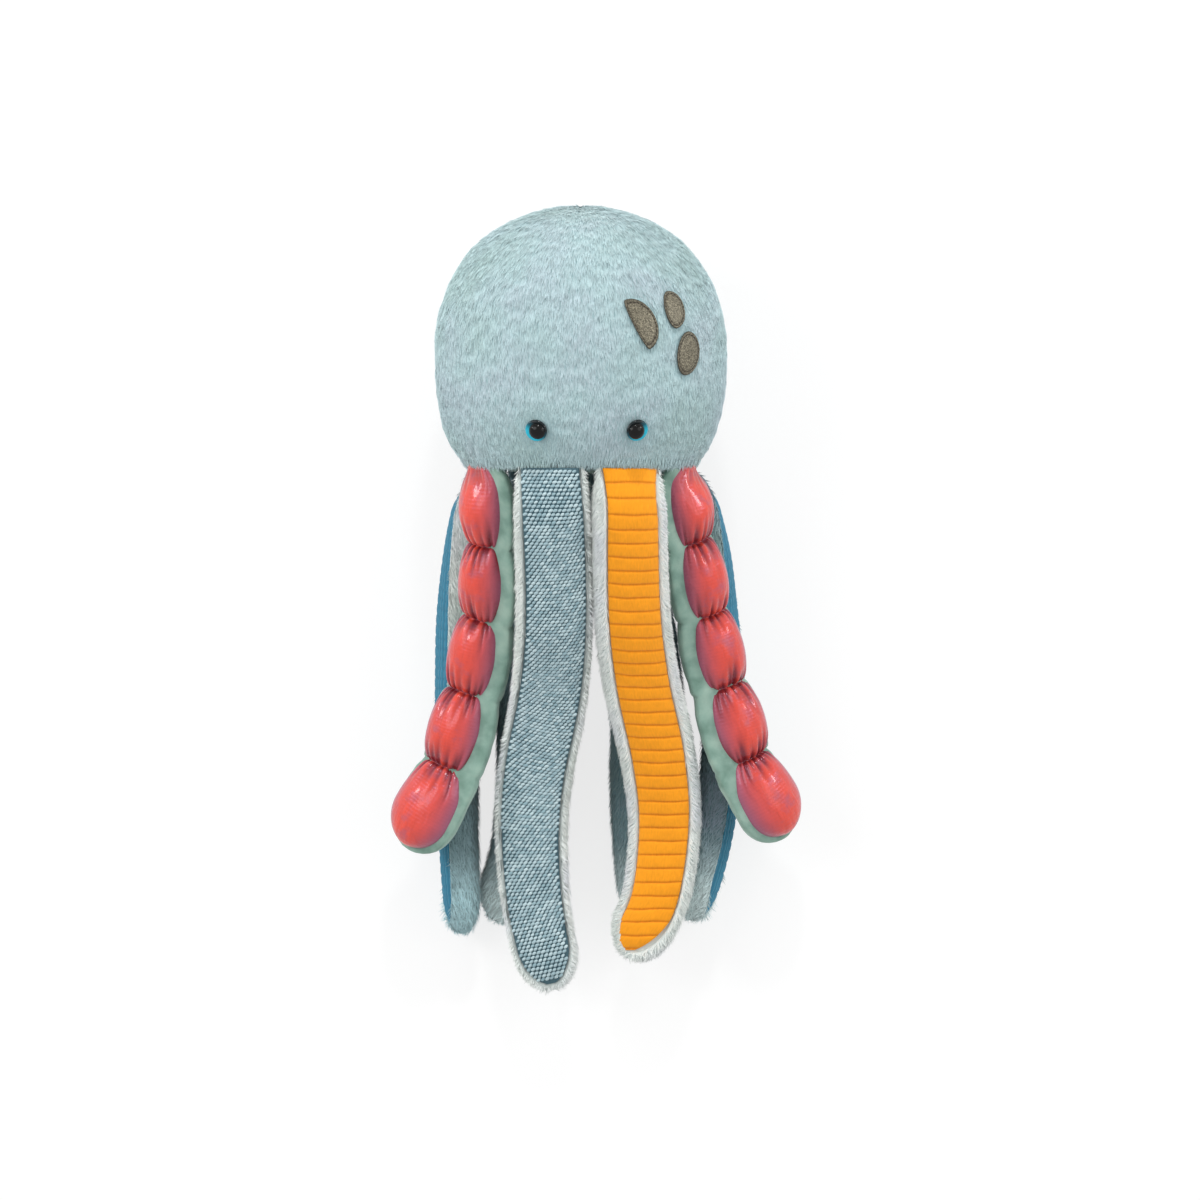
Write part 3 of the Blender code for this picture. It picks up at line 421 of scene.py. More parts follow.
def coral_satin(cloth):
    """Polyester satin: long weft floats make a soft, coloured shine across the pods; the lavender
    at the edges is painted sheen and shade, and the dark red in the gathers is painted shade."""
    made, tree, place = principled(
        "coral_polyester_satin", Roughness=0.30, Specular_IOR_Level=0.6, Sheen_Weight=0.2,
        Sheen_Roughness=0.35, Sheen_Tint=rgba(cloth.satin_light),
        Specular_Tint=rgba(cloth.satin_light), Coat_Weight=0.35, Coat_Roughness=0.12,
    )
    crease = add(tree, "ShaderNodeAttribute", attribute_name="crease").outputs["Fac"]
    lie = add(tree, "ShaderNodeAttribute", attribute_name="cloth").outputs["Vector"]
    # Creases of about 3 by 9 mm that run with the tentacle.
    slack = add(tree, "ShaderNodeVectorMath", (lie, (330, 110, 1)), operation="MULTIPLY")
    slack = add(
        tree, "ShaderNodeTexNoise",
        {"Vector": slack, "Scale": 1.0, "Detail": 3, "Distortion": 0.4},
    )
    mottle = add(tree, "ShaderNodeMapRange", {0: slack, 1: 0.3, 2: 0.7, 3: 0.90, 4: 1.06})
    tint = toned(tree, rgba(cloth.coral), mottle)
    # Painted sheen and shade: mauve edges, and mauve patches of about 7 mm where the satin
    # turns from the eye.
    edge = add(tree, "ShaderNodeAttribute", attribute_name="edge").outputs["Fac"]
    patch = add(tree, "ShaderNodeTexNoise", {"Vector": place, "Scale": 140, "Detail": 3})
    patch = add(tree, "ShaderNodeMapRange", {0: patch, 1: 0.5, 2: 0.7, 3: 0, 4: 0.45})
    edge = add(tree, "ShaderNodeMath", (edge, patch), operation="MAXIMUM")
    # Mixes in the painted sheen and shade of the edges, then the painted shade of the gathers.
    for share, other in ((edge, cloth.coral_sheen_shade), (crease, cloth.coral_gather_shade)):
        both = {0: share, 6: tint, 7: rgba(other)}
        tint = add(tree, "ShaderNodeMix", both, data_type="RGBA").outputs[2]
    # Weft lines, drawn 0.9 mm apart because the real 0.1 mm wouldn't show.
    weft = add(
        tree, "ShaderNodeTexWave", {"Vector": lie, "Scale": 175, "Distortion": 1.5},
        bands_direction="Y",
    )
    return surface(made, tint, (slack, 0.6, 1.0 * MM), (weft.outputs["Fac"], 0.4, 0.12 * MM))


def mint_velvet(cloth):
    """Short velvet: matt, with darker brushmarks and a pale bloom along its edges."""
    made, tree, place = principled(
        "mint_cotton_velvet", Roughness=0.85, Sheen_Weight=0.55, Sheen_Roughness=0.45,
        Sheen_Tint=rgba(linear("#eaf6ee")), Specular_IOR_Level=0.15,
    )
    # Brushmarks of about 11 mm.
    brushed = add(
        tree, "ShaderNodeTexNoise",
        {"Vector": place, "Scale": 90, "Detail": 4, "Distortion": 0.2},
    )
    tint = stops(add(tree, "ShaderNodeValToRGB", (brushed,)), [
        (0.30, cloth.mint_deep), (0.50, cloth.mint), (0.70, linear("#9db8aa")),
    ])
    fibre = add(tree, "ShaderNodeTexNoise", {"Vector": place, "Scale": 1400, "Detail": 2})
    return surface(made, tint, (fibre, 0.25, 0.3 * MM))


def wool_yarn(cloth):
    """Loosely spun wool: pale, matt floats that differ a little from one to the next."""
    made, tree, place = principled("woven_wool_yarn", Roughness=0.8, Sheen_Weight=0.2)
    tone = add(tree, "ShaderNodeAttribute", attribute_name="tone").outputs["Fac"]
    tint = stops(add(tree, "ShaderNodeValToRGB", (tone,)), [
        (0.0, linear("#8fadb6")), (0.5, cloth.yarn), (1.0, linear("#c0d6db")),
    ])
    twist = add(tree, "ShaderNodeTexNoise", {"Vector": place, "Scale": 1500, "Detail": 2})
    return surface(made, tint, (twist, 0.4, 0.3 * MM))


def bronze_leathercloth(cloth):
    """Foiled leather-cloth: a dull metal face, a pebbled grain, and painted shade that darkens
    its stitched groove and its rolled rims.
    """
    made, tree, place = principled(
        "bronze_foiled_leathercloth", Metallic=0.35, Roughness=0.45, Specular_IOR_Level=0.4,
    )
    # Painted shade in the stitched groove and over the rolled rim.
    rim = add(tree, "ShaderNodeAttribute", attribute_name="crease").outputs["Fac"]
    mottle = add(tree, "ShaderNodeTexNoise", {"Vector": place, "Scale": 1500, "Detail": 2})
    tint = stops(add(tree, "ShaderNodeValToRGB", (mottle,)), [
        (0.36, linear("#464134")), (0.52, cloth.bronze), (0.68, linear("#8f8873")),
    ])
    both = {0: rim, 6: tint, 7: rgba(cloth.bronze_thread_and_shade)}
    tint = add(tree, "ShaderNodeMix", both, data_type="RGBA").outputs[2]
    # Grain pebbles of 0.9 mm, about twice the real size so that they show.
    grain = add(tree, "ShaderNodeTexVoronoi", {"Vector": place, "Scale": 1100})
    return surface(made, tint, (grain, 0.35, 0.25 * MM))


def moulded_plastic(name, colour, roughness, coat=0.0):
    """Injection-moulded plastic, with the faint unevenness of a tumbled part."""
    made, tree, place = principled(
        name, Roughness=roughness, Coat_Weight=coat, Coat_Roughness=0.03, Specular_IOR_Level=0.22,
    )
    flow = add(tree, "ShaderNodeTexNoise", {"Vector": place, "Scale": 400, "Detail": 2})
    flow = add(tree, "ShaderNodeMapRange", {0: flow, 1: 0, 2: 1, 3: 0.85, 4: 1.15})
    return surface(made, toned(tree, rgba(colour), flow))


def iris_plastic(eye):
    """Clear-coated plastic, with painted light and shade: it runs from deep teal to bright cyan
    on the iris's low side.
    """
    made, tree, _ = principled("teal_clear_plastic", Roughness=0.2, Specular_IOR_Level=0.3)
    glow = add(tree, "ShaderNodeAttribute", attribute_name="glow").outputs["Fac"]
    tint = stops(add(tree, "ShaderNodeValToRGB", (glow,)), [
        (0.30, linear("#081519")), (0.52, eye.teal), (0.80, eye.cyan),
    ])
    return surface(made, tint)


MATERIALS = {}


def kept(build, *values):
    """The material that build makes, made once for each set of values that starts with a name."""
    key = values[0] if isinstance(values[0], str) else build.__name__
    if key not in MATERIALS:
        MATERIALS[key] = build(*values)
    return MATERIALS[key]


def pile_kind(settings, kind):
    """The pile of the head, of the rims in front, or of the tentacles behind. The tentacles'
    darker pile is painted shade, and their paler ends are painted light.
    """
    pile = settings.pile
    cool, warm = linear("#e9ebf0"), linear("#e6ece7")
    return kept(plush_pile, *{
        "head": ("pale_blue_plush", pile.aqua, pile.lavender, pile.moss, pile.root),
        "rim": ("white_blue_plush", pile.rim, cool, warm, pile.rim_root),
        # The left side tentacle: the whiter pile, with painted shade away from the head and painted
        # light at its end.
        "side_shade": (
            "side_shaded_lit_blue_plush", pile.rim, cool, warm, pile.rim_root,
            ((pile.side_shade, -0.13, -0.20), (pile.tip, -0.248, -0.275)),
        ),
        # The other tentacles: a greyer copy as painted shade, with painted light at their ends.
        "shaded": (
            "shaded_blue_plush", pile.shaded, linear("#aebccb"), linear("#a3bbb6"),
            pile.shaded_root, ((pile.painted_light_tip, -0.245, -0.275),),
        ),
    }[kind])


# Meshes.

def placed(name, data):
    """A new object in the scene, around a mesh, a lamp or a camera."""
    made = bpy.data.objects.new(name, data)
    bpy.context.scene.collection.objects.link(made)
    return made


def closed_mesh(name, verts, faces, material):
    """A smooth closed mesh whose faces point outwards."""
    verts = np.asarray(verts, dtype=float)
    volume = 0.0
    for face in faces:
        a, b, c = verts[face[0]], verts[face[1]], verts[face[2]]
        volume += np.dot(a, np.cross(b, c))
        if len(face) == 4:
            volume += np.dot(a, np.cross(c, verts[face[3]]))
    if volume < 0:
        faces = [face[::-1] for face in faces]
    mesh = bpy.data.meshes.new(name)
    mesh.from_pydata(verts.tolist(), [], faces)
    mesh.shade_smooth()
    mesh.materials.append(material)
    return placed(name, mesh)


def store(piece, name, values):
    """Stores a number or a vector for each point of a piece."""
    values = np.asarray(values, dtype=float)
    kind = "FLOAT_VECTOR" if values.ndim == 2 else "FLOAT"
    layer = piece.data.attributes.new(name, kind, "POINT")
    layer.data.foreach_set("vector" if values.ndim == 2 else "value", values.ravel())


def skin(name, rings, material, values=None):
    """Closed skin through rings of points, drawn together to a point at each end."""
    rings = np.asarray(rings, dtype=float)
    count, around = rings.shape[:2]
    index = np.arange(count * around).reshape(count, around)
    beside = np.roll(index, -1, axis=1)
    quads = np.stack([index[:-1], beside[:-1], beside[1:], index[1:]], axis=-1).reshape(-1, 4)
    first, last = count * around, count * around + 1
    faces = quads.tolist()
    faces += [[first, beside[0, i], index[0, i]] for i in range(around)]
    faces += [[last, index[-1, i], beside[-1, i]] for i in range(around)]
    ends = np.array([rings[0].mean(axis=0), rings[-1].mean(axis=0)])
    made = closed_mesh(name, np.vstack([rings.reshape(-1, 3), ends]), faces, material)
    for label, value in (values or {}).items():
        value = np.asarray(value, dtype=float)
        flat = value.reshape(count * around, -1)
        ends = np.array([flat[:around].mean(axis=0), flat[-around:].mean(axis=0)])
        flat = np.vstack([flat, ends])
        store(made, label, flat if value.ndim == 3 else flat[:, 0])
    return made


def turned(name, profile, place, material, segments=48):
    """A solid turned about its own Z from (radius, height) pairs, set by a matrix."""
    turns = np.linspace(0, math.tau, segments, endpoint=False)
    rings = [
        [place @ Vector((radius * math.cos(t), radius * math.sin(t), height)) for t in turns]
        for radius, height in profile
    ]
    return skin(name, np.array(rings), material)


def settle(piece, replaced=()):
    """Tells the frame what a finished piece rides on, and hides the parts that it stands for."""
    if replaced:
        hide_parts(*replaced)
    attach(piece, "root")
    return piece


def unit(vectors):
    return vectors / (np.linalg.norm(vectors, axis=-1, keepdims=True) + 1e-12)


def smooth(share):
    share = np.clip(share, 0, 1)
    return share * share * (3 - 2 * share)


def off_floor(height):
    """0 for pile that the toy's weight presses flat, 1 above it."""
    return smooth((height - 1.5 * MM) / (2.5 * MM))


def roughen(points, scale, stretch=(1, 1, 1)):
    """Seeded noise for an array of points, from -1 to 1, with features of that size."""
    flat = np.asarray(points).reshape(-1, 3) / scale / np.array(stretch)
    values = [noise.noise(Vector(point)) for point in flat]
    return np.array(values).reshape(np.asarray(points).shape[:-1])


# Geometry node trees.

def node_tree(name, inputs):
    """A geometry tree with named inputs, as (name, kind, default), and its input sockets."""
    tree = bpy.data.node_groups.new(name, "GeometryNodeTree")
    face = tree.interface
    face.new_socket("Geometry", in_out="INPUT", socket_type="NodeSocketGeometry")
    for label, kind, default in inputs:
        socket = face.new_socket(label, in_out="INPUT", socket_type=f"NodeSocket{kind}")
        if default is not None:
            socket.default_value = default
    face.new_socket("Geometry", in_out="OUTPUT", socket_type="NodeSocketGeometry")
    return tree, add(tree, "NodeGroupInput").outputs


def close_tree(tree, geometry, material, soft=True):
    """Ends a tree: real meshes with soft or flat faces, in their material."""
    made = add(tree, "GeometryNodeRealizeInstances", (geometry,))
    made = add(tree, "GeometryNodeSetShadeSmooth", {0: made, 2: soft})
    made = add(tree, "GeometryNodeSetMaterial", {0: made, 2: material})
    add(tree, "NodeGroupOutput", (made,))
    return tree


def grown(carrier, name, tree, values):
    """Runs a tree on a carrier and returns the result as a plain piece of its own."""
    modifier = carrier.modifiers.new(tree.name, "NODES")
    modifier.node_group = tree
    for item in tree.interface.items_tree:
        if item.in_out == "INPUT" and item.name in values:
            modifier[item.identifier] = values[item.name]
    depsgraph = bpy.context.evaluated_depsgraph_get()
    mesh = bpy.data.meshes.new_from_object(
        carrier.evaluated_get(depsgraph), preserve_all_data_layers=True, depsgraph=depsgraph,
    )
    carrier.modifiers.remove(modifier)
    mesh.name = name
    return placed(name, mesh)


def laid_out(tree, points, up, run, spread, seed, axis):
    """Points with a random "tone", and a turn for each: Z up, the axis along its run, give or
    take the spread."""
    run = add(tree, "GeometryNodeInputNamedAttribute", {0: run}, data_type="FLOAT_VECTOR")
    stray = add(
        tree, "FunctionNodeRandomValue", {0: (-1, -1, -1), 1: (1, 1, 1), 8: seed},
        data_type="FLOAT_VECTOR",
    )
    stray = add(tree, "ShaderNodeVectorMath", {0: stray, 3: spread}, operation="SCALE")
    lie = add(tree, "ShaderNodeVectorMath", (run, stray), operation="ADD")
    turn = add(tree, "FunctionNodeAlignRotationToVector", {2: up}, axis="Z")
    turn = add(
        tree, "FunctionNodeAlignRotationToVector", {0: turn, 2: lie}, axis=axis, pivot_axis="Z",
    )
    tone = add(tree, "FunctionNodeRandomValue", {2: 0.0, 3: 1.0, 8: 3}, data_type="FLOAT")
    points = add(
        tree, "GeometryNodeStoreNamedAttribute", {0: points, 2: "tone", 3: tone.outputs[1]},
        data_type="FLOAT", domain="POINT",
    )
    return points, turn


def pile_tree():
    """Tufts of pile, scattered on a skin and combed along its "comb" vectors."""
    tree, given = node_tree("Pile tufts", [
        ("Density", "Float", 1e6), ("Length", "Float", 0.005), ("Width", "Float", 0.001),
        ("Rise", "Float", 0.001), ("Spread", "Float", 0.3), ("Seed", "Int", 1),
        ("Mask", "String", "pile"), ("Material", "Material", None),
    ])
    mask = add(tree, "GeometryNodeInputNamedAttribute", {0: given["Mask"]}, data_type="FLOAT")
    density = add(tree, "ShaderNodeMath", (mask, given["Density"]), operation="MULTIPLY")
    points = add(
        tree, "GeometryNodeDistributePointsOnFaces",
        {0: given["Geometry"], 4: density, 6: given["Seed"]}, distribute_method="RANDOM",
    )
    places, combed = laid_out(
        tree, points.outputs["Points"], points.outputs["Normal"], "comb", given["Spread"],
        given["Seed"], "Y",
    )
    coarse = add(tree, "GeometryNodeInputNamedAttribute", {0: "coarse"}, data_type="FLOAT")
    size = add(tree, "FunctionNodeRandomValue", {2: 0.7, 3: 1.2, 8: 5}, data_type="FLOAT")
    size = add(tree, "ShaderNodeMath", (size.outputs[1], coarse), operation="MULTIPLY")

    # One tuft: a three-sided ridge that lies along the comb and runs out to a raised point.
    spike = add(tree, "GeometryNodeMeshCone", {0: 3, 1: 1, 3: 0.0, 4: 0.58, 5: 1.0})
    spot = add(tree, "ShaderNodeSeparateXYZ", (add(tree, "GeometryNodeInputPosition"),))
    share = spot.outputs["Z"]
    side = add(tree, "ShaderNodeMath", (spot.outputs["Y"], given["Width"]), operation="MULTIPLY")
    ridge = add(tree, "ShaderNodeMath", (given["Width"], 0.20), operation="MULTIPLY")
    ridge = add(tree, "ShaderNodeMath", (spot.outputs["X"], ridge), operation="MULTIPLY")
    run = add(tree, "ShaderNodeMath", (share, given["Length"]), operation="MULTIPLY")
    rise = add(tree, "ShaderNodeMath", (share, given["Rise"], ridge), operation="MULTIPLY_ADD")
    bent = add(tree, "ShaderNodeCombineXYZ", (side, run, rise))
    # The tip share lets the material paint shade towards each tuft's root.
    tipped = add(
        tree, "GeometryNodeStoreNamedAttribute", {0: spike, 2: "tip", 3: share},
        data_type="FLOAT", domain="POINT",
    )
    tuft = add(tree, "GeometryNodeSetPosition", {0: tipped, 2: bent})
    made = add(tree, "GeometryNodeInstanceOnPoints", {0: places, 2: tuft, 5: combed, 6: size})
    return close_tree(tree, made, given["Material"], soft=False)


def crease_tree():
    """Sinks a skin along its "facing" wherever its "measure" meets a step of the pitch."""
    tree, given = node_tree("Creases", [
        ("Pitch", "Float", 0.007), ("Depth", "Float", 0.001), ("Crease", "Float", 0.0005),
        ("Crown", "Float", 0.0004), ("Material", "Material", None),
    ])
    measure = add(tree, "GeometryNodeInputNamedAttribute", {0: "measure"}, data_type="FLOAT")
    relief = add(tree, "GeometryNodeInputNamedAttribute", {0: "relief"}, data_type="FLOAT")
    facing = add(tree, "GeometryNodeInputNamedAttribute", {0: "facing"}, data_type="FLOAT_VECTOR")
    half = add(tree, "ShaderNodeMath", (given["Pitch"], 0.5), operation="MULTIPLY")
    near = add(tree, "ShaderNodeMath", (measure, half), operation="PINGPONG")
    ratio = add(tree, "ShaderNodeMath", (near, given["Crease"]), operation="DIVIDE")
    ratio = add(tree, "ShaderNodeMath", (ratio, ratio), operation="MULTIPLY")
    ratio = add(tree, "ShaderNodeMath", (ratio, -1.0), operation="MULTIPLY")
    crease = add(tree, "ShaderNodeMath", (ratio,), operation="EXPONENT")
    far = add(tree, "ShaderNodeMath", (near, half), operation="DIVIDE")
    far = add(tree, "ShaderNodeMath", (1.0, far), operation="SUBTRACT")
    far = add(tree, "ShaderNodeMath", (far, far), operation="MULTIPLY")
    crown = add(tree, "ShaderNodeMath", (far, given["Crown"]), operation="MULTIPLY")
    sunk = add(tree, "ShaderNodeMath", (crease, given["Depth"], crown), operation="MULTIPLY_ADD")
    sunk = add(tree, "ShaderNodeMath", (sunk, relief), operation="MULTIPLY")
    sunk = add(tree, "ShaderNodeMath", (sunk, -1.0), operation="MULTIPLY")
    offset = add(tree, "ShaderNodeVectorMath", {0: facing, 3: sunk}, operation="SCALE")
    # The crease mask is kept for the cloth's painted shade in its creases.
    marked = add(
        tree, "GeometryNodeStoreNamedAttribute", {0: given["Geometry"], 2: "crease", 3: crease},
        data_type="FLOAT", domain="POINT",
    )
    made = add(tree, "GeometryNodeSetPosition", {0: marked, 3: offset})
    return close_tree(tree, made, given["Material"])


def bead_tree():
    """Flat beads, such as yarn floats or stitches, laid along "run" and facing "facing"."""
    tree, given = node_tree("Beads", [
        ("Length", "Float", 0.002), ("Width", "Float", 0.0014), ("Height", "Float", 0.001),
        ("Jitter", "Float", 0.1), ("Seed", "Int", 1), ("Material", "Material", None),
    ])
    facing = add(tree, "GeometryNodeInputNamedAttribute", {0: "facing"}, data_type="FLOAT_VECTOR")
    places, laid = laid_out(
        tree, given["Geometry"], facing, "run", given["Jitter"], given["Seed"], "X",
    )
    ball = add(tree, "GeometryNodeMeshUVSphere", {0: 8, 1: 3, 2: 0.5})
    size = add(tree, "FunctionNodeRandomValue", {2: 0.88, 3: 1.1, 8: 5}, data_type="FLOAT")
    shape = add(tree, "ShaderNodeCombineXYZ", (given["Length"], given["Width"], given["Height"]))
    shape = add(tree, "ShaderNodeVectorMath", {0: shape, 3: size.outputs[1]}, operation="SCALE")
    made = add(tree, "GeometryNodeInstanceOnPoints", {0: places, 2: ball, 5: laid, 6: shape})
    return close_tree(tree, made, given["Material"])


TREES = {"Pile tufts": pile_tree, "Creases": crease_tree, "Beads": bead_tree}


def tree_named(name):
    return bpy.data.node_groups.get(name) or TREES[name]()


def grow_pile(carrier, name, pile, material, density, mask="pile", seed=0, rise=1.0, spread=0.3):
    """Tufts on a skin, as a piece of its own."""
    made = grown(carrier, name, tree_named("Pile tufts"), {
        "Density": density, "Length": pile.tuft_length, "Width": pile.tuft_width,
        "Rise": pile.tuft_rise * rise, "Spread": spread, "Seed": pile.seed + seed,
        "Mask": mask, "Material": material,
    })
    return settle(made)


def beads(name, points, facing, run, material, sizes, jitter=0.1):
    """Beads at points, each with the way it faces and the way it runs."""
    mesh = bpy.data.meshes.new(name + "_places")
    mesh.from_pydata([tuple(point) for point in points], [], [])
    carrier = placed(name + "_places", mesh)
    store(carrier, "facing", facing)
    store(carrier, "run", run)
    length, width, height = sizes
    made = grown(carrier, name, tree_named("Beads"), {
        "Length": length, "Width": width, "Height": height, "Jitter": jitter,
        "Seed": 11, "Material": material,
    })
    bpy.data.objects.remove(carrier, do_unlink=True)
    return settle(made)


# Head, eyes and spots.

def head_radius(y):
    """Half-width of the dome at a distance y above its widest line."""
    height, power = CROWN if y >= 0 else JAW
    share = min(1.0, abs(y) / height)
    return HEAD_WIDTH / 2 * (1 - share**power) ** (1 / power)


def underside_radius():
    """Half-width of the flat underside, inside its rounded edge."""
    return head_radius(UNDERSIDE_ROUNDING - UNDERSIDE_DROP) - UNDERSIDE_ROUNDING / 2


def head_front(x, y):
    """Point of the dome's face above (x, y), and its outward normal."""
    def height(u, v):
        return HEAD_AXIS_HEIGHT + DEPTH_RATIO * math.sqrt(max(1e-9, head_radius(v) ** 2 - u * u))

    step = 1e-4
    slope_x = (height(x + step, y) - height(x - step, y)) / (2 * step)
    slope_y = (height(x, y + step) - height(x, y - step)) / (2 * step)
    return Vector((x, y, height(x, y))), Vector((-slope_x, -slope_y, 1)).normalized()


def spot_outline(top, bottom, bulge_right, bulge_left, points):
    """Leaf outline: down one side from the top end to the bottom end, and up the other."""
    top, bottom = Vector(top), Vector(bottom)
    aside = Vector((top.y - bottom.y, bottom.x - top.x)).normalized()
    made = []
    for i in range(2 * points):
        turn = math.pi * i / points
        middle = top.lerp(bottom, (1 - math.cos(turn)) / 2)
        bulge = bulge_right if i < points else bulge_left
        made.append(middle + aside * bulge * math.sin(turn))
    return made


def inside(outline, x, y):
    """True for the points (x, y) that lie inside a flat outline."""
    found = np.zeros(np.shape(x), dtype=bool)
    for a, b in zip(outline, outline[1:] + outline[:1]):
        crosses = (a.y > y) != (b.y > y)
        at = a.x + (y - a.y) * (b.x - a.x) / (b.y - a.y if abs(b.y - a.y) > 1e-12 else 1e-12)
        found ^= crosses & (x < at)
    return found


def eye_place(across):
    """Frame of one eye: its Z stands out of the dome's skin."""
    point, normal = head_front(across, -EYE_DROP)
    return Matrix.Translation(point) @ normal.to_track_quat("Z", "Y").to_matrix().to_4x4()


def head_grid(rings, around):
    """The dome's points, the outward direction at each and the way down along the skin."""
    heights = [CROWN[0] * math.sin(math.pi / 2 * (1 - (i + 0.3) / rings)) for i in range(rings)]
    side = UNDERSIDE_DROP - MM
    heights += [-side * i / (rings - 1) for i in range(rings)]
    radii = [head_radius(y) for y in heights]
    start = radii[-1]
    for turn in (0.35, 0.7, 1.05, 1.4):
        heights.append(-side - MM * math.sin(turn))
        radii.append(start - MM * (1 - math.cos(turn) + 0.8 * math.sin(turn)))
    for share in (0.9, 0.75, 0.55, 0.3, 0.1):
        heights.append(-UNDERSIDE_DROP + 0.4 * MM)
        radii.append(start * share)
    turns = np.linspace(0, math.tau, around, endpoint=False)
    radii, heights = np.array(radii)[:, None], np.array(heights)[:, None]
    x = radii * np.sin(turns)
    y = heights + 0 * turns
    z = HEAD_AXIS_HEIGHT + radii * DEPTH_RATIO * np.cos(turns)
    points = np.stack([x, y, z], axis=-1)
    down = unit(np.gradient(points, axis=0))
    out = unit(np.cross(np.gradient(points, axis=1), down))
    if (out[rings, 0] * np.array([0, 0, 1])).sum() < 0:
        out = -out
    return points, out, down, turns + 0 * heights


def make_head(settings):
    pile = settings.pile
    points, out, down, turns = head_grid(60, 180)
    y, z = points[..., 1], points[..., 2]

    # Gore seams from the crown, which the pile hides lower down.
    gore = (turns - GORE_TURN) % (math.tau / GORES)
    gore = np.minimum(gore, math.tau / GORES - gore) * np.hypot(points[..., 0], z - HEAD_AXIS_HEIGHT)
    seam = np.exp(-((gore / SEAM_WIDTH) ** 2)) * smooth((y - 0.020) / 0.035)
    # Under a spot the cloth is flat, and just above one no tuft may hang over it.
    flat, bare = np.zeros(y.shape, dtype=bool), np.zeros(y.shape, dtype=bool)
    near = np.zeros(y.shape, dtype=bool)
    for size in SPOTS.values():
        outline = spot_outline(*size, 24)
        for fall in SPOT_SHADE:
            hit = inside(outline, points[..., 0], y - fall * MM) & (z > HEAD_AXIS_HEIGHT)
            flat |= hit & (fall == 0)
            bare |= hit & (fall < 2)
            near |= hit
    clump = roughen(points, CLUMP, (1, 2.2, 1)) + 0.6 * roughen(points + 1, 5.5 * MM, (1, 1.5, 1))
    lift = pile.clump_depth * clump - SEAM_DEPTH * seam + SWELL_DEPTH * roughen(points + 2, SWELL)
    lift *= smooth((y + UNDERSIDE_DROP) / (4 * MM)) * 0.9 + 0.1
    lift -= pile.pile_depth * smooth((z - 2 * MM) / (6 * MM))
    lift = np.where(flat, -0.2 * MM, lift)
    points = points + out * lift[..., None]
    points[..., 2] = np.maximum(points[..., 2], 0)

    # Where the pile grows, and how coarse it is.
    shown = smooth((z - 0.030) / 0.025)
    low_edge = smooth((y + UNDERSIDE_DROP - 0.3 * MM) / (0.8 * MM))
    grows = off_floor(z) * low_edge * (1 - 0.6 * seam) * ~bare
    fine = (0.85 + 0.25 * smooth((y + 0.03) / 0.07)) * np.where(near, 0.6, 1.0)
    for across in EYE_ACROSS.values():
        centre = np.array(eye_place(across).translation)
        away = np.linalg.norm(points - centre, axis=-1)
        grows *= smooth((away - EYE_CLEARING) / (0.8 * MM))
        fine *= 0.62 + 0.38 * smooth((away - 0.006) / 0.009)
    swirl = roughen(points + 5, 30 * MM)
    aside = np.cross(out, down)
    comb = down + aside * (0.3 * swirl[..., None]) + np.array([0, -0.35, 0])
    material = pile_kind(settings, "head")
    # The bare skin has no tuft tips and takes the root colour, as painted shade between the tufts.
    made = skin("head_skin", points, material, {
        "pile_face": grows * shown, "pile_back": grows * (1 - shown), "comb": comb,
        "pile_edge": grows * smooth((-y - UNDERSIDE_DROP + 5 * MM) / (2 * MM)) * (z > 0.02),
        "coarse": fine * (1 + 0.35 * (1 - shown)),
    })
    settle(made, ["head"])
    for name, mask, density, seed in (
        ("head_pile_under", "pile_face", pile.head_density / 2, 1),
        ("head_pile_over", "pile_face", pile.head_density / 2, 2),
        ("head_pile_back", "pile_back", pile.head_density * 0.4, 3),
    ):
        grow_pile(made, name, pile, material, density, mask, seed)
    # Hair that hangs over the tops of the tentacles.
    grow_pile(
        made, "head_pile_edge", pile, material, pile.edge_density, "pile_edge", 4, rise=5.5,
        spread=0.45,
    )

    # Closing panel: a thin stuffed disc of velvet.
    radius, thick = CLOSING_RADIUS, CLOSING_THICKNESS
    place = Matrix.Translation((0, ROOT_Y, HEAD_AXIS_HEIGHT)) @ Matrix.Rotation(math.pi / 2, 4, "X")
    profile = [(radius * s, 0) for s in (0.05, 0.5, 0.9)]
    profile += [(radius * 0.98, thick * 0.2), (radius, thick * 0.5), (radius * 0.98, thick * 0.8)]
    profile += [(radius * s, thick * (1 + 0.6 * (1 - s * s))) for s in (0.92, 0.8, 0.6, 0.4, 0.2, 0.05)]
    panel = turned("closing_panel_pad", profile, place, kept(mint_velvet, settings.cloth))
    settle(panel, ["closing_panel"])


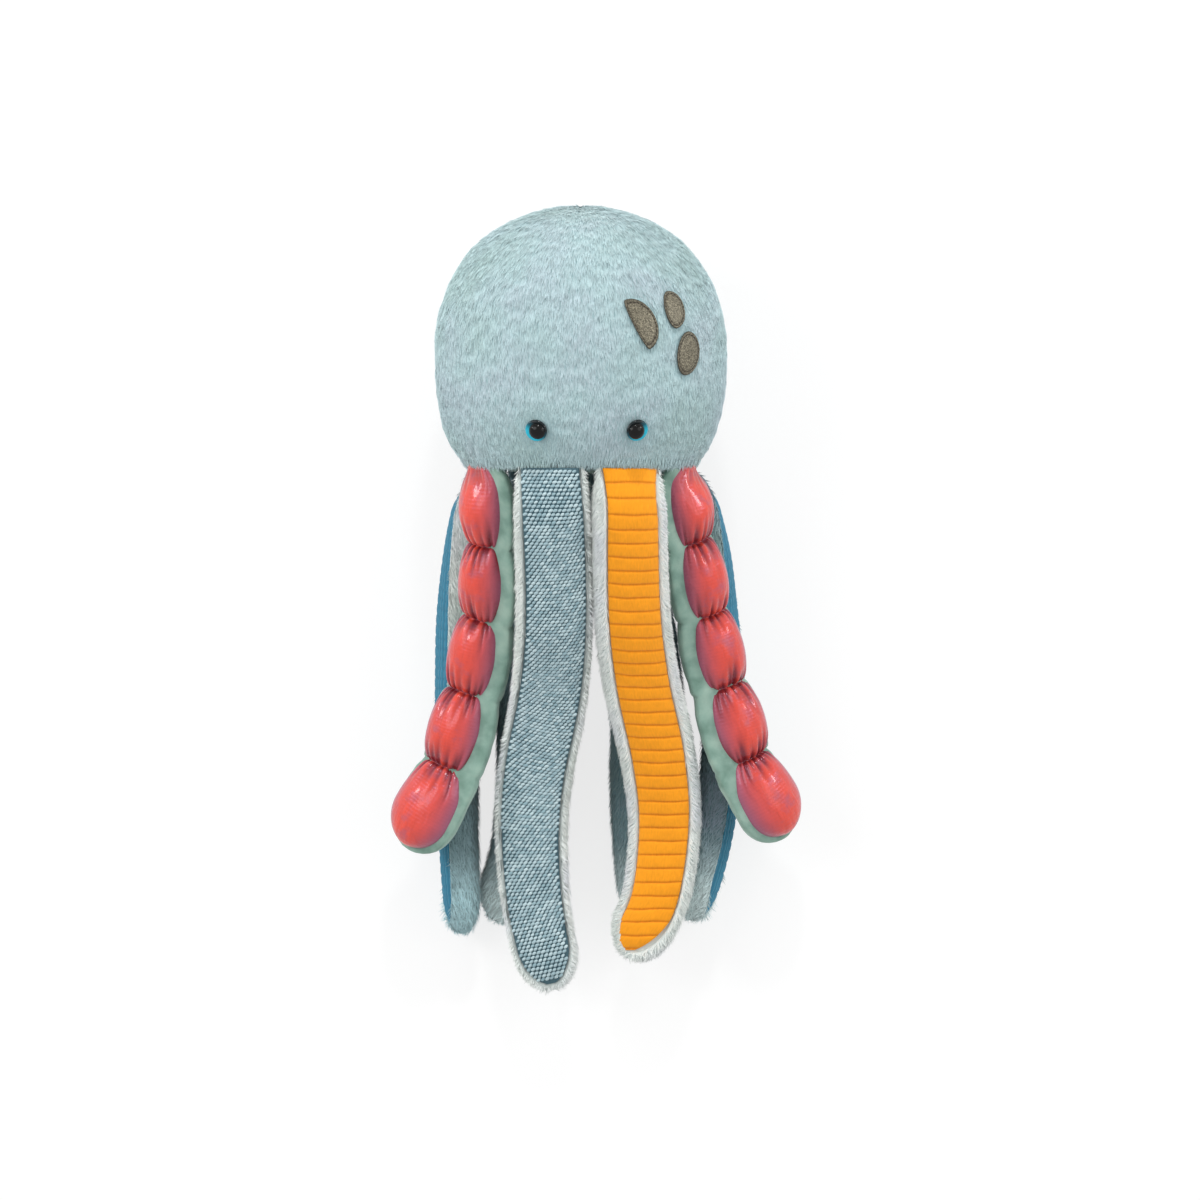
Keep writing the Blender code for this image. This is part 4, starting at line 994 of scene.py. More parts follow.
def make_eyes(settings):
    eye = settings.eye
    black = kept(moulded_plastic, "black_moulded_plastic", eye.black, 0.06)
    white = kept(moulded_plastic, "white_washer_nylon", eye.washer, 0.45)
    teal = kept(iris_plastic, eye)
    seat = IRIS_THICKNESS + 2 * SEWN_GAP
    for side, across in EYE_ACROSS.items():
        place = eye_place(across)
        profile = [(0.05 * MM, -SHANK_LENGTH), (SHANK_RADIUS, -SHANK_LENGTH), (SHANK_RADIUS, seat)]
        profile += [(PUPIL_RADIUS * 0.97, seat), (PUPIL_RADIUS, seat + 0.15 * MM)]
        profile += [
            (PUPIL_RADIUS * math.cos(t), seat + 0.15 * MM + (PUPIL_HEIGHT - 0.15 * MM) * math.sin(t))
            for t in np.linspace(0.1, 1.54, 14)
        ]
        dome = turned(f"{side}_eye_dome", profile, place, black)
        settle(dome, [f"{side}_eye"])

        shift = Matrix.Translation((math.copysign(IRIS_SHIFT, across), -IRIS_SHIFT, 0))
        hole = SHANK_RADIUS + 2 * SEWN_GAP
        ring = [(hole, SEWN_GAP), (IRIS_RADIUS * 0.95, SEWN_GAP), (IRIS_RADIUS, SEWN_GAP + 0.3 * MM)]
        ring += [
            (IRIS_RADIUS - 0.9 * MM * (1 - math.cos(t)), SEWN_GAP + 0.3 * MM + 0.9 * MM * math.sin(t))
            for t in np.linspace(0.2, 1.5, 6)
        ]
        ring += [(hole, SEWN_GAP + 1.1 * MM)]
        iris = turned(f"{side}_iris_ring", ring, place @ shift, teal)
        # The glow is painted light and shade: bright towards the iris's low outer side, dark away from
        # it.
        low = Vector((math.copysign(0.6, across), -0.8, 0))
        centre = (place @ shift).translation
        store(iris, "glow", [
            0.5 + 0.5 * (vert.co - centre).normalized().dot(low) for vert in iris.data.vertices
        ])
        settle(iris, [f"{side}_eye_ring"])
        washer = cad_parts[f"{side}_eye_washer"]
        washer.data.materials.clear()
        washer.data.materials.append(white)


def make_spots(settings):
    cloth = settings.cloth
    bronze = kept(bronze_leathercloth, cloth)
    thread = kept(moulded_plastic, "bronze_sewing_thread", cloth.bronze_thread_and_shade, 0.6)
    # (share of the way to the rim, lift over the dome, darkness of painted shade)
    face = [
        (0.08, 1.15, 0), (0.25, 1.15, 0), (0.45, 1.13, 0), (0.62, 1.10, 0), (0.74, 1.05, 0),
        (0.80, 0.95, 0.35), (0.835, 0.78, 0.7), (0.87, 0.90, 0.4), (0.91, 0.98, 0.2),
        (0.95, 0.92, 0.35), (0.985, 0.70, 0.75), (1.0, 0.45, 0.9), (0.985, 0.3, 1.0), (0.5, 0.3, 1.0),
        (0.08, 0.3, 1.0),
    ]
    for name, size in SPOTS.items():
        outline = spot_outline(*size, 28)
        centre = sum(outline, Vector((0, 0))) / len(outline)

        def place(share, lift):
            made = []
            for corner in outline:
                point, normal = head_front(*centre.lerp(corner, share))
                made.append(point + normal * lift * MM)
            return made

        rings = np.array([place(share, lift) for share, lift, _ in face])
        dark = np.array([[shade] * len(outline) for _, _, shade in face])
        patch = skin(f"{name}_patch", rings, bronze, {"crease": dark})
        settle(patch, [name])

        # Stitches along the groove, at even steps of its length.
        groove = [Vector(point) for point in place(0.85, 0.85)]
        groove.append(groove[0])
        lengths = np.cumsum([0.0] + [(b - a).length for a, b in zip(groove, groove[1:])])
        count = int(lengths[-1] / (cloth.stitch_length * 1.5))
        at = np.linspace(0, lengths[-1], count, endpoint=False)
        stitches = np.stack([np.interp(at, lengths, [p[k] for p in groove]) for k in range(3)], axis=-1)
        runs = np.roll(stitches, -1, axis=0) - np.roll(stitches, 1, axis=0)
        facing = [tuple(head_front(x, y)[1]) for x, y, _ in stitches]
        beads(
            f"{name}_stitches", stitches, facing, runs, thread,
            (cloth.stitch_length, 0.45 * MM, 0.35 * MM), jitter=0.0,
        )


# Tentacles.

def rest_height(support, half_width, half_thickness, facing):
    """Height of a tentacle's middle where it lies on something, turned by its facing."""
    turn = math.radians(facing)
    reach = math.hypot(half_thickness * math.cos(turn), half_width * math.sin(turn))
    return support + reach - FLOOR_SAG


def catmull(points, i, t):
    """Smooth curve through a list of vectors, between points i and i + 1."""
    p1, p2 = points[i], points[i + 1]
    p0 = points[i - 1] if i else p1 * 2 - p2
    p3 = points[i + 2] if i + 2 < len(points) else p2 * 2 - p1
    return 0.5 * (
        2 * p1 + (p2 - p0) * t + (2 * p0 - 5 * p1 + 4 * p2 - p3) * t**2
        + (3 * p1 - p0 - 3 * p2 + p3) * t**3
    )


class Way:
    """The line that a tentacle follows: a point and two directions at any length along it."""

    steps = 24

    def __init__(self, way, support, half_width, half_thickness):
        root_turn, points = way
        turn = math.radians(root_turn)
        ring = underside_radius() - RING_INSET
        root = Vector((
            ring * math.sin(turn), ROOT_Y, HEAD_AXIS_HEIGHT + ring * DEPTH_RATIO * math.cos(turn),
        ))
        knots = [Vector((*root, root_turn))]
        for across, down, share, facing in points:
            lying = rest_height(support, half_width, half_thickness, facing)
            z = root.z + share * (lying - root.z)
            knots.append(Vector((root.x + across * MM, root.y - down * MM, z, facing)))
        self.places = [
            catmull(knots, i, step / self.steps)
            for i in range(len(knots) - 1) for step in range(self.steps)
        ] + [knots[-1]]
        self.lengths = [0.0]
        for a, b in zip(self.places, self.places[1:]):
            self.lengths.append(self.lengths[-1] + (b.xyz - a.xyz).length)
        self.length = self.lengths[-1]

    def at(self, along):
        """Place, direction across and direction out of the panel, at a length from the root."""
        i = 0
        while i < len(self.lengths) - 2 and self.lengths[i + 1] < along:
            i += 1
        a, b = self.places[i], self.places[i + 1]
        span = self.lengths[i + 1] - self.lengths[i]
        here = a.lerp(b, (along - self.lengths[i]) / span)
        before = self.places[max(0, i - 3)].xyz
        after = self.places[min(len(self.places) - 1, i + 4)].xyz
        forward = (after - before).normalized()
        square = min(1.0, max(0.0, along / ROOT_LENGTH))
        forward = Vector((0, -1, 0)).lerp(forward, square).normalized()
        turn = math.radians(here.w)
        out = Vector((math.sin(turn), 0, math.cos(turn)))
        out = (out - forward * out.dot(forward)).normalized()
        return here.xyz, out.cross(forward), out

    def ring(self, along, u, v):
        """World points of one section, from distances across it and out of it."""
        place, across, out = self.at(max(0.0, along))
        place = place + Vector((0, 1, 0)) * max(0.0, -along)
        return np.array(place) + np.outer(u, across) + np.outer(v, out)


def round_end(along, end, length):
    """1 along a tentacle, falling to 0 over its rounded end."""
    into = min(1.0, max(0.0, (along - (end - length)) / length))
    return math.sqrt(1 - into * into)


def oval(u, half_width, half_thickness):
    """Height of the oval section's skin at distances u across it."""
    share = np.minimum(1.0, np.abs(u) / half_width)
    return half_thickness * (1 - share**SECTION_SQUARENESS) ** (1 / SECTION_SQUARENESS)


def stations(start, end, tip, step):
    """Lengths along a tentacle: even ones, then closer ones round its tip."""
    body = list(np.arange(start, end - tip, step))
    return body + [end - tip + tip * math.sin(t) for t in np.linspace(0.05, 1.52, 18)]


class FurTentacle:
    """Fur back with a fabric panel let into its front, and fur rims beside the panel."""

    def __init__(self, name, way, support, size, kind):
        width, thickness = size
        self.name = name
        self.kind = kind
        self.way = Way(way, support, width / 2, thickness / 2)
        self.half_width = width / 2
        self.half_thickness = thickness / 2
        self.half_panel = PANEL_WIDTH[kind] / 2
        self.panel_end = self.way.length - TIP_RIM

    def body_size(self, along):
        """Half-width and half-thickness, flat at the root and tapered to the tip."""
        root = float(smooth(along / ROOT_LENGTH))
        taper = 1 - (1 - TIP_TAPER) * max(0.0, along / self.way.length * 2 - 1) ** 1.5
        end = round_end(along, self.way.length, TIP_LENGTH)
        thick = ROOT_THICKNESS / 2 + (self.half_thickness - ROOT_THICKNESS / 2) * root
        wide = self.half_width * (0.92 + 0.08 * root)
        blunt = 0.8 if self.kind == "corded" else 0.55
        return wide * taper * max(end, 0.02), thick * taper * max(end, 0.05) ** blunt

    def panel_half(self, along):
        wide = self.half_panel / self.half_width * self.body_size(along)[0]
        even, flare = PANEL_CUT[self.kind]
        wide = min(wide, self.half_panel) * round_end(along, self.panel_end, TIP_LENGTH)
        return wide * (even + flare * max(0.0, 1 - max(0.0, along) / FLARE_LENGTH) ** 1.5)

    def make_skin(self, settings, material):
        """The fur skin, with a recess for the panel and puffed rims beside it."""
        pile = settings.pile
        lengths = stations(-SEWN_IN, self.way.length, TIP_LENGTH, 2.0 * MM)
        rings, rims, sides, hidden = [], [], [], []
        for along in lengths:
            wide, thick = self.body_size(along)
            half = min(self.panel_half(along) + SEWN_GAP, wide * 0.86)
            lip = math.acos(min(1.0, half / wide + 0.015))
            recess = PANEL_THICKNESS * min(1.0, half / (3 * MM))
            floor = np.linspace(-half, half, 9)
            rim = wide * np.cos(np.linspace(lip, 0, 9)[:-1])
            back = wide * np.cos(np.linspace(0, math.pi, 27))
            u = np.concatenate([floor, rim, back, -rim[::-1]])
            rise = np.concatenate([oval(floor, wide, thick) - recess, oval(rim, wide, thick)])
            share = (np.abs(rim) - half) / (wide - half)
            puff = RIM_PUFF * np.sin(math.pi * np.clip(share, 0, 1)) ** 0.6 * min(1.0, thick / (5 * MM))
            puff *= 0.3 + 0.7 * smooth(along / RIM_ROOT)
            rise[len(floor):] += puff
            low = -oval(back, wide, thick)
            v = np.concatenate([rise, low, rise[len(floor):][::-1]])
            rings.append(self.way.ring(along, u, v))
            on_rim = np.concatenate([0 * floor, 1 + 0 * rim, 0 * back, 1 + 0 * rim])
            rims.append(on_rim)
            sides.append(np.sign(u) * (1.1 * on_rim + 0.2))
            hidden.append(np.concatenate([1 + 0 * floor, 0 * rim, 0 * back, 0 * rim]))
        rings, rims = np.array(rings), np.array(rims)
        down = unit(np.gradient(rings, axis=0))
        around = np.roll(rings, -1, axis=1) - np.roll(rings, 1, axis=1)
        out = unit(np.cross(down, around))
        if ((rings - rings.mean(axis=1, keepdims=True)) * out).sum() < 0:
            out = -out
        clump = roughen(rings, CLUMP, (1, 2, 1)) + 0.5 * roughen(rings + 1, 6 * MM)
        loose = np.array(hidden) < 0.5
        lift = 0.8 * pile.clump_depth * clump - pile.pile_depth * smooth(rings[..., 2] / (6 * MM))
        rings = rings + out * (lift * loose)[..., None]
        rings[..., 2] = np.maximum(rings[..., 2], 0)
        across = np.array([np.array(self.way.at(max(0, along))[1]) for along in lengths])[:, None]
        comb = down + across * np.array(sides)[..., None]
        started = smooth(np.array(lengths) / (2 * MM))[:, None]
        seen = np.maximum(rims, smooth((out[..., 2] + 0.1) / 0.5) * 0.55)
        grows = (0.1 + 0.9 * seen) * loose * off_floor(rings[..., 2]) * started
        made = skin(f"{self.name}_fur_skin", rings, material, {
            "pile": grows, "comb": comb, "coarse": 1.2 - 0.3 * seen,
        })
        settle(made, [f"{self.name}_fur"])
        return made

    def make_panel(self, material, settings):
        """The panel's skin, and the creases of its relief."""
        cloth = settings.cloth
        end = self.panel_end - TIP_LENGTH * 0.04
        # (points across, step along, pitch, depth, width of a crease, crown between two)
        points, step, pitch, depth, crease, crown = {
            "ribbed": (21, 0, cloth.rib_pitch, cloth.rib_depth, cloth.rib_crease, 0.3 * MM),
            "corded": (37, 0.9 * MM, cloth.cord_pitch, cloth.cord_depth, 0.5 * MM, 0.4 * MM),
            "woven": (25, 3.0 * MM, 1.0, 0.0, 1 * MM, 0.0),
        }[self.kind]
        if step:
            lengths = stations(0, end, TIP_LENGTH * 0.9, step)
        else:
            # More rings beside each crease than on the crown between two.
            phases = (0, 0.04, 0.08, 0.13, 0.2, 0.32, 0.5, 0.68, 0.8, 0.87, 0.92, 0.96)
            ribs = range(int(end / pitch) + 1)
            lengths = [(rib + phase) * pitch for rib in ribs for phase in phases]
            lengths = [along for along in lengths if along < end - 0.2 * MM] + [end]
        shares = np.linspace(-1, 1, points)
        under = np.array([0.97, 0.5, 0.0, -0.5, -0.97])
        rings, measures, reliefs, facings, cloths, pinch_shades = [], [], [], [], [], []
        for along in lengths:
            wide, thick = self.body_size(along)
            half = max(self.panel_half(along), 0.3 * MM)
            u = half * np.concatenate([shares, under])
            v = oval(u, wide, thick)
            v[:points] -= 0.35 * MM * np.abs(shares) ** 6
            v[points:] -= PANEL_THICKNESS
            pinch = 0.0
            if self.kind == "corded":
                near = abs((along / cloth.pinch_pitch) % 1 - 0.5) * cloth.pinch_pitch
                pinch = math.exp(-((near / (0.7 * MM)) ** 2))
                v[:points] -= cloth.pinch_depth * pinch * min(1.0, half / (6 * MM))
            _, across, out = self.way.at(along)
            forward = across.cross(out)
            level = -u * across.y / forward.y if self.kind == "ribbed" else 0 * u
            rings.append(self.way.ring(along, u, v) + np.outer(level, forward))
            # Painted shade at each tacked pinch.
            pinch_shades.append(np.concatenate([0.3 * pinch + 0 * shares, 0 * under]))
            uneven = [
                0.45 * MM * noise.noise(Vector((place / (9 * MM), along / (5 * MM), 0))) for place in u
            ]
            measures.append(along + np.array(uneven) if self.kind == "ribbed" else u + pitch * 20)
            mask = np.concatenate([1 - 0.6 * np.abs(shares) ** 8, 0 * under])
            if self.kind == "corded":
                mask *= smooth(half / (6 * MM))
            reliefs.append(mask)
            facings.append(np.tile(np.array(out), (len(u), 1)))
            cloths.append(np.stack([u, along + 0 * u, 0 * u], axis=-1))
        rings = np.array(rings)
        rings[..., 2] = np.maximum(rings[..., 2], 0)
        name = f"{self.name}_{self.kind}_cloth"
        carrier = skin(name + "_plain", rings, material, {
            "measure": measures, "relief": reliefs, "facing": facings, "cloth": cloths,
            "painted_shade": pinch_shades,
        })
        made = grown(carrier, name, tree_named("Creases"), {
            "Pitch": pitch, "Depth": depth, "Crease": crease, "Crown": crown, "Material": material,
        })
        bpy.data.objects.remove(carrier, do_unlink=True)
        return settle(made, [f"{self.name}_{self.kind}_panel"])

    def make_floats(self, settings):
        """Yarn floats in brick order over the woven panel's ground."""
        cloth = settings.cloth
        rows = int((self.panel_end - 2 * MM) / cloth.float_down)
        points, facing, runs = [], [], []
        for row in range(1, rows):
            along = row * cloth.float_down
            wide, thick = self.body_size(along)
            half = self.panel_half(along) - 0.7 * MM
            _, across, out = self.way.at(along)
            ahead = self.way.at(along + MM)[0] - self.way.at(along)[0]
            shift = 0.5 * (row % 2)
            count = int(self.half_panel / cloth.float_across) + 1
            for column in range(-count, count + 1):
                u = (column + shift) * cloth.float_across
                if abs(u) > half:
                    continue
                v = float(oval(u, wide, thick)) + FLOAT_LIFT
                slope = (float(oval(u + MM, wide, thick)) - float(oval(u - MM, wide, thick))) / (2 * MM)
                tangent = (across + out * slope).normalized()
                points.append(self.way.ring(along, [u], [v])[0])
                facing.append(tuple((out - across * slope).normalized()))
                runs.append(tuple(tangent - ahead.normalized() * 0.55))
        beads(
            f"{self.name}_yarn_floats", points, facing, runs, kept(wool_yarn, cloth),
            FLOAT_SIZE, jitter=0.15,
        )

    def make(self, settings, pile_material, panel_material):
        body = self.make_skin(settings, pile_material)
        pile = settings.pile
        share = 0.5 if self.name.startswith("back") else 0.9
        density = pile.tentacle_density * share
        grow_pile(body, f"{self.name}_pile", pile, pile_material, density, seed=20, rise=3.6,
                  spread=0.45)
        self.make_panel(panel_material, settings)
        if self.kind == "woven":
            self.make_floats(settings)


class GatheredTentacle:
    """Velvet back with a satin front, which elastic draws into a row of puffed pods."""

    def __init__(self, name, way, support, seed):
        self.name = name
        self.way = Way(way, support, VELVET_WIDTH / 2, VELVET_THICKNESS)
        self.last = self.way.length - TIP_RIM * 0.5
        self.pitch = self.way.length / (POD_COUNT - 1 + LAST_POD_LENGTH)
        self.aside = math.copysign(SATIN_SHIFT, way[0])
        draw = np.random.RandomState(seed)
        # Pleats: (neck, side of it, place round the pod, width, reach, depth).
        self.pleats = []
        for neck in range(POD_COUNT):
            for side in (-1, 1):
                turn = 0.22
                while turn < math.pi - 0.2:
                    self.pleats.append((
                        neck, side, turn + draw.uniform(-0.06, 0.06), draw.uniform(*PLEAT_WIDTH),
                        draw.uniform(*PLEAT_REACH), draw.uniform(*PLEAT_DEPTH) * (1 if neck else 0.5),
                    ))
                    turn += draw.uniform(0.20, 0.44)

    def pod(self, along):
        """0 at a neck and 1 at a pod's fullest, with the last pod the longest."""
        place = along / self.pitch
        if place >= POD_COUNT - 1:
            into = (place - POD_COUNT + 1) / LAST_POD_LENGTH
        else:
            into = place % 1.0
        if place < 0.5:
            return math.sin(math.pi * (0.28 + 0.22 * into / 0.5)) ** POD_FULLNESS
        into = min(into, 0.5) if place > POD_COUNT - 0.4 else into
        return max(0.0, math.sin(math.pi * into)) ** POD_FULLNESS

    def last_pod(self, along):
        """0 up to the last neck, rising to 1 inside the last pod."""
        return float(smooth((along / self.pitch - POD_COUNT + 1) / 0.35))

    def sizes(self, along):
        """Half-widths of velvet and satin, depth of the velvet and height of the satin."""
        root = float(smooth(along / ROOT_LENGTH))
        pod = self.pod(max(0.0, along))
        last = self.last_pod(along)
        grow = 1 + POD_GROWTH * (along / self.way.length) ** 2
        end = round_end(along, self.last, TIP_LENGTH)
        velvet = VELVET_WIDTH / 2 * (1 - VELVET_PINCH * (1 - pod)) * grow
        velvet *= 1 - (1 - LAST_VELVET) * last
        satin = SATIN_WIDTH / 2 * (POD_NECK + (1 - POD_NECK) * pod) * grow
        satin *= 1 + LAST_POD_FILL * last + SATIN_ROOT_WIDER * (1 - float(smooth(along / SATIN_ROOT)))
        deep = VELVET_THICKNESS * (0.5 + 0.5 * root) * (1 - VELVET_PINCH * (1 - pod))
        high = SATIN_HEIGHT * (0.5 + 0.5 * root) * (0.34 + 0.66 * pod)
        full = max(end, 0.03)
        return velvet * full, satin * full * 0.98, deep * full**0.55, high * full**0.55

    def satin_shift(self, along):
        """How far the satin sits towards the outer edge, so that the velvet shows inside it."""
        share = 1 - (1 - LAST_POD_SHIFT) * self.last_pod(along)
        share += SATIN_ROOT_ASIDE * (1 - float(smooth(along / SATIN_ROOT)))
        return self.aside * share * round_end(max(0.0, along), self.last, TIP_LENGTH)

    def lengths(self, end):
        """Lengths along the tentacle, closer together near the necks and the tip."""
        made, along = [], -SEWN_IN
        while along < end - TIP_LENGTH:
            made.append(along)
            near = min(abs(along - self.pitch * neck) for neck in range(1, POD_COUNT))
            along += 0.5 * MM if near < 4 * MM else 1.0 * MM
        return made + [end - TIP_LENGTH + TIP_LENGTH * math.sin(t) for t in np.linspace(0.02, 1.54, 20)]

    def make_velvet(self, material):
        rings = []
        lengths = self.lengths(self.last)[::2]
        for along in lengths:
            velvet, satin, deep, _ = self.sizes(along)
            turns = np.linspace(0, math.tau, 56, endpoint=False)
            narrow = min(velvet, satin + abs(self.satin_shift(along)) + VELVET_MARGIN)
            half = np.where(np.cos(turns) * self.aside > 0, narrow, velvet)
            u = half * np.cos(turns)
            upper = np.sin(turns) > 0
            rim = VELVET_RIM * min(1.0, deep / (6 * MM))
            lift = rim * (1 - np.abs(np.cos(turns)) ** 2.6) ** (1 / 2.6)
            v = np.where(upper, lift, deep * np.sin(turns))
            rings.append(self.way.ring(along, u, v))
        rings = np.array(rings)
        out = unit(rings - rings.mean(axis=1, keepdims=True))
        neck = np.array([1 - self.pod(max(0.0, along)) for along in lengths])[:, None]
        wrinkle = roughen(rings, 9 * MM, (1.0, 0.8, 1.0)) + 0.5 * roughen(rings + 3, 4 * MM)
        rings = rings + out * (wrinkle * (0.3 * MM + 1.4 * MM * neck))[..., None]
        rings[..., 2] = np.maximum(rings[..., 2], 0)
        made = skin(f"{self.name}_velvet_skin", rings, material)
        return settle(made, [f"{self.name}_velvet"])

    def make_satin(self, material):
        end = self.last - VELVET_TIP
        lengths = self.lengths(end)
        turns = np.linspace(0, math.pi, 61)
        under = np.linspace(math.pi, 0, 13)
        rings, creases, cloths, edges = [], [], [], []
        for along in lengths:
            _, satin, _, high = self.sizes(min(along, self.last - TIP_LENGTH))
            full = max(0.03, round_end(max(0.0, along), end + 0.1 * MM, TIP_LENGTH - VELVET_TIP))
            satin, high = satin * full, high * full**0.55
            sunk = np.zeros_like(turns)
            for neck, side, turn, width, reach, depth in self.pleats:
                away = (along - neck * self.pitch) * side
                if 0 <= away < reach:
                    fade = (1 - away / reach) ** 1.2 * min(1.0, 0.5 + away / (1.5 * MM))
                    sunk += depth * fade * np.exp(-(((turns - turn) / width) ** 2))
            near = min(abs(along - self.pitch * neck) for neck in range(1, POD_COUNT))
            sunk += 0.5 * MM * math.exp(-((near / (0.8 * MM)) ** 2))
            sunk = np.minimum(sunk, 0.6 * high)
            inward, narrow = 1 - sunk / high, 1 - 0.15 * sunk / high
            core = satin - SATIN_THICKNESS * min(1.0, satin / (4 * MM))
            top = max(0.1 * MM, 0.45 * high - SATIN_THICKNESS)
            u = np.concatenate([-satin * narrow * np.cos(turns), -core * np.cos(under)])
            u += self.satin_shift(along)
            v = np.concatenate([high * inward * np.sin(turns), top * np.sin(under)]) + SEWN_GAP
            rings.append(self.way.ring(along, u, v))
            # Masks of painted shade in the gathers and of painted sheen and shade at the edges.
            creases.append(np.concatenate([np.clip(sunk / (1.6 * MM), 0, 1) ** 1.4, 0 * under]))
            cloths.append(np.stack([u, along + 0 * u, 0 * u], axis=-1))
            edges.append(np.concatenate([0.95 * np.abs(np.cos(turns)) ** 3, 0 * under]))
        rings = np.array(rings)
        made = skin(f"{self.name}_satin_pods", rings, material, {
            "crease": creases, "cloth": cloths, "edge": edges,
        })
        return settle(made, [f"{self.name}_satin"])

    def make(self, settings):
        self.make_velvet(kept(mint_velvet, settings.cloth))
        self.make_satin(kept(coral_satin, settings.cloth))


def panel_material(settings, kind):
    """The cloth of a panel, with its threads. The jersey's wales are drawn 0.8 mm apart because
    the real 0.4 mm wouldn't show."""
    cloth = settings.cloth
    return kept(creased_cloth, *{
        "woven": ("woven_wool_ground", cloth.ground, cloth.ground, (900, 700, 0.3 * MM)),
        "ribbed": (
            "orange_quilted_jersey", cloth.orange, cloth.orange_crease_shade, (1250, 300, 0.25 * MM),
        ),
        "corded": ("blue_cotton_corduroy", cloth.blue, cloth.blue_groove_shade, (900, 250, 0.3 * MM)),
    }[kind])


# Operators.

class JELLYFISH_OT_stage(bpy.types.Operator):
    """Makes the camera, the soft lights and the pale floor"""
    bl_idname = "jellyfish.stage"
    bl_label = "Stage"

    def execute(self, context):
        scene = context.scene
        stage = scene.plush_jellyfish.stage
        scene.view_settings.view_transform = "Standard"

        data = bpy.data.cameras.new("camera")
        camera = placed("camera", data)
        camera.location = (0.0095, -0.125, stage.camera_height)
        level = stage.camera_height - HEAD_AXIS_HEIGHT
        data.lens = data.sensor_width * level / stage.view_width
        data.clip_end = 4 * stage.camera_height
        scene.camera = camera

        for name, power, size, place in (
            ("key", stage.key_power, 1.2, (-1.3, 0.35, 1.5)),
            ("fill", stage.fill_power, 1.2, (1.4, 0.1, 1.2)),
            ("crown", stage.crown_power, 0.18, (0.05, 1.25, 0.95)),
            ("side left", stage.side_power, 0.28, (-1.3, 0.42, 0.50)),
            ("side right", stage.side_power, 0.28, (1.3, 0.42, 0.50)),
        ):
            light = bpy.data.lights.new(name, "AREA")
            light.energy = power
            light.shape = "DISK"
            light.size = size
            lamp = placed(name, light)
            lamp.location = place
            aim = Vector((0, -0.08, 0.03)) - Vector(place)
            lamp.rotation_euler = aim.to_track_quat("-Z", "Y").to_euler()

        world = bpy.data.worlds.new("daylight")
        world.use_nodes = True
        tree = world.node_tree
        tree.nodes.clear()
        rays = add(tree, "ShaderNodeLightPath").outputs
        seen = add(tree, "ShaderNodeMath", (rays["Is Camera Ray"], rays["Is Transmission Ray"]),
                   operation="MAXIMUM")
        seen = add(tree, "ShaderNodeMath", (seen, rays["Is Glossy Ray"]), operation="MAXIMUM")
        soft = add(tree, "ShaderNodeBackground", {0: (1, 1, 1, 1), 1: stage.daylight})
        white = add(tree, "ShaderNodeBackground", {0: (1, 1, 1, 1), 1: 1.0})
        both = add(tree, "ShaderNodeMixShader", (seen, soft, white))
        add(tree, "ShaderNodeOutputWorld", (both,))
        scene.world = world

        made, tree, place = principled(
            "painted_floor", Roughness=0.9, Specular_IOR_Level=0.0, Emission_Color=(1, 1, 1, 1),
        )
        grain = add(tree, "ShaderNodeTexNoise", {"Vector": place, "Scale": 3})
        grain = add(tree, "ShaderNodeMapRange", {0: grain, 1: 0, 2: 1, 3: 0.995, 4: 1.005})
        direct = add(tree, "ShaderNodeLightPath").outputs["Is Camera Ray"]
        both = {
            0: direct, 6: toned(tree, rgba(stage.floor), grain), 7: rgba([stage.shadow] * 3),
        }
        surface(made, add(tree, "ShaderNodeMix", both, data_type="RGBA").outputs[2])
        glow = add(
            tree, "ShaderNodeMath", (direct, 1 - 0.95 * stage.shadow), operation="MULTIPLY",
        )
        shader = tree.nodes["Principled BSDF"]
        tree.links.new(glow.outputs[0], shader.inputs["Emission Strength"])
        mesh = bpy.data.meshes.new("floor")
        mesh.from_pydata([(-9, -9, 0), (9, -9, 0), (9, 9, 0), (-9, 9, 0)], [], [(0, 1, 2, 3)])
        mesh.materials.append(made)
        placed("floor", mesh)
        return {"FINISHED"}


class JELLYFISH_OT_head(bpy.types.Operator):
    """Makes the stuffed head with its pile, and the panel that closes it"""
    bl_idname = "jellyfish.head"
    bl_label = "Head"

    def execute(self, context):
        make_head(context.scene.plush_jellyfish)
        return {"FINISHED"}


class JELLYFISH_OT_eyes(bpy.types.Operator):
    """Makes the two safety eyes"""
    bl_idname = "jellyfish.eyes"
    bl_label = "Eyes"

    def execute(self, context):
        make_eyes(context.scene.plush_jellyfish)
        return {"FINISHED"}


class JELLYFISH_OT_spots(bpy.types.Operator):
    """Makes the three leather-cloth spots and their stitches"""
    bl_idname = "jellyfish.spots"
    bl_label = "Spots"

    def execute(self, context):
        make_spots(context.scene.plush_jellyfish)
        return {"FINISHED"}


class JELLYFISH_OT_front_tentacles(bpy.types.Operator):
    """Makes the two tentacles in front, one woven and one quilted"""
    bl_idname = "jellyfish.front_tentacles"
    bl_label = "Front tentacles"

    def execute(self, context):
        settings = context.scene.plush_jellyfish
        for name, way, kind in (
            ("front_left_tentacle", FRONT_LEFT_WAY, "woven"),
            ("front_right_tentacle", FRONT_RIGHT_WAY, "ribbed"),
        ):
            made = FurTentacle(name, way, FRONT_SUPPORT, FUR_SIZE, kind)
            made.make(settings, pile_kind(settings, "rim"), panel_material(settings, kind))
        return {"FINISHED"}


class JELLYFISH_OT_gathered_tentacles(bpy.types.Operator):
    """Makes the two gathered tentacles of velvet and satin"""
    bl_idname = "jellyfish.gathered_tentacles"
    bl_label = "Gathered tentacles"

    def execute(self, context):
        settings = context.scene.plush_jellyfish
        GatheredTentacle("gathered_left_tentacle", RED_LEFT_WAY, SIDE_SUPPORT, 4).make(settings)
        GatheredTentacle("gathered_right_tentacle", RED_RIGHT_WAY, SIDE_SUPPORT, 9).make(settings)
        return {"FINISHED"}


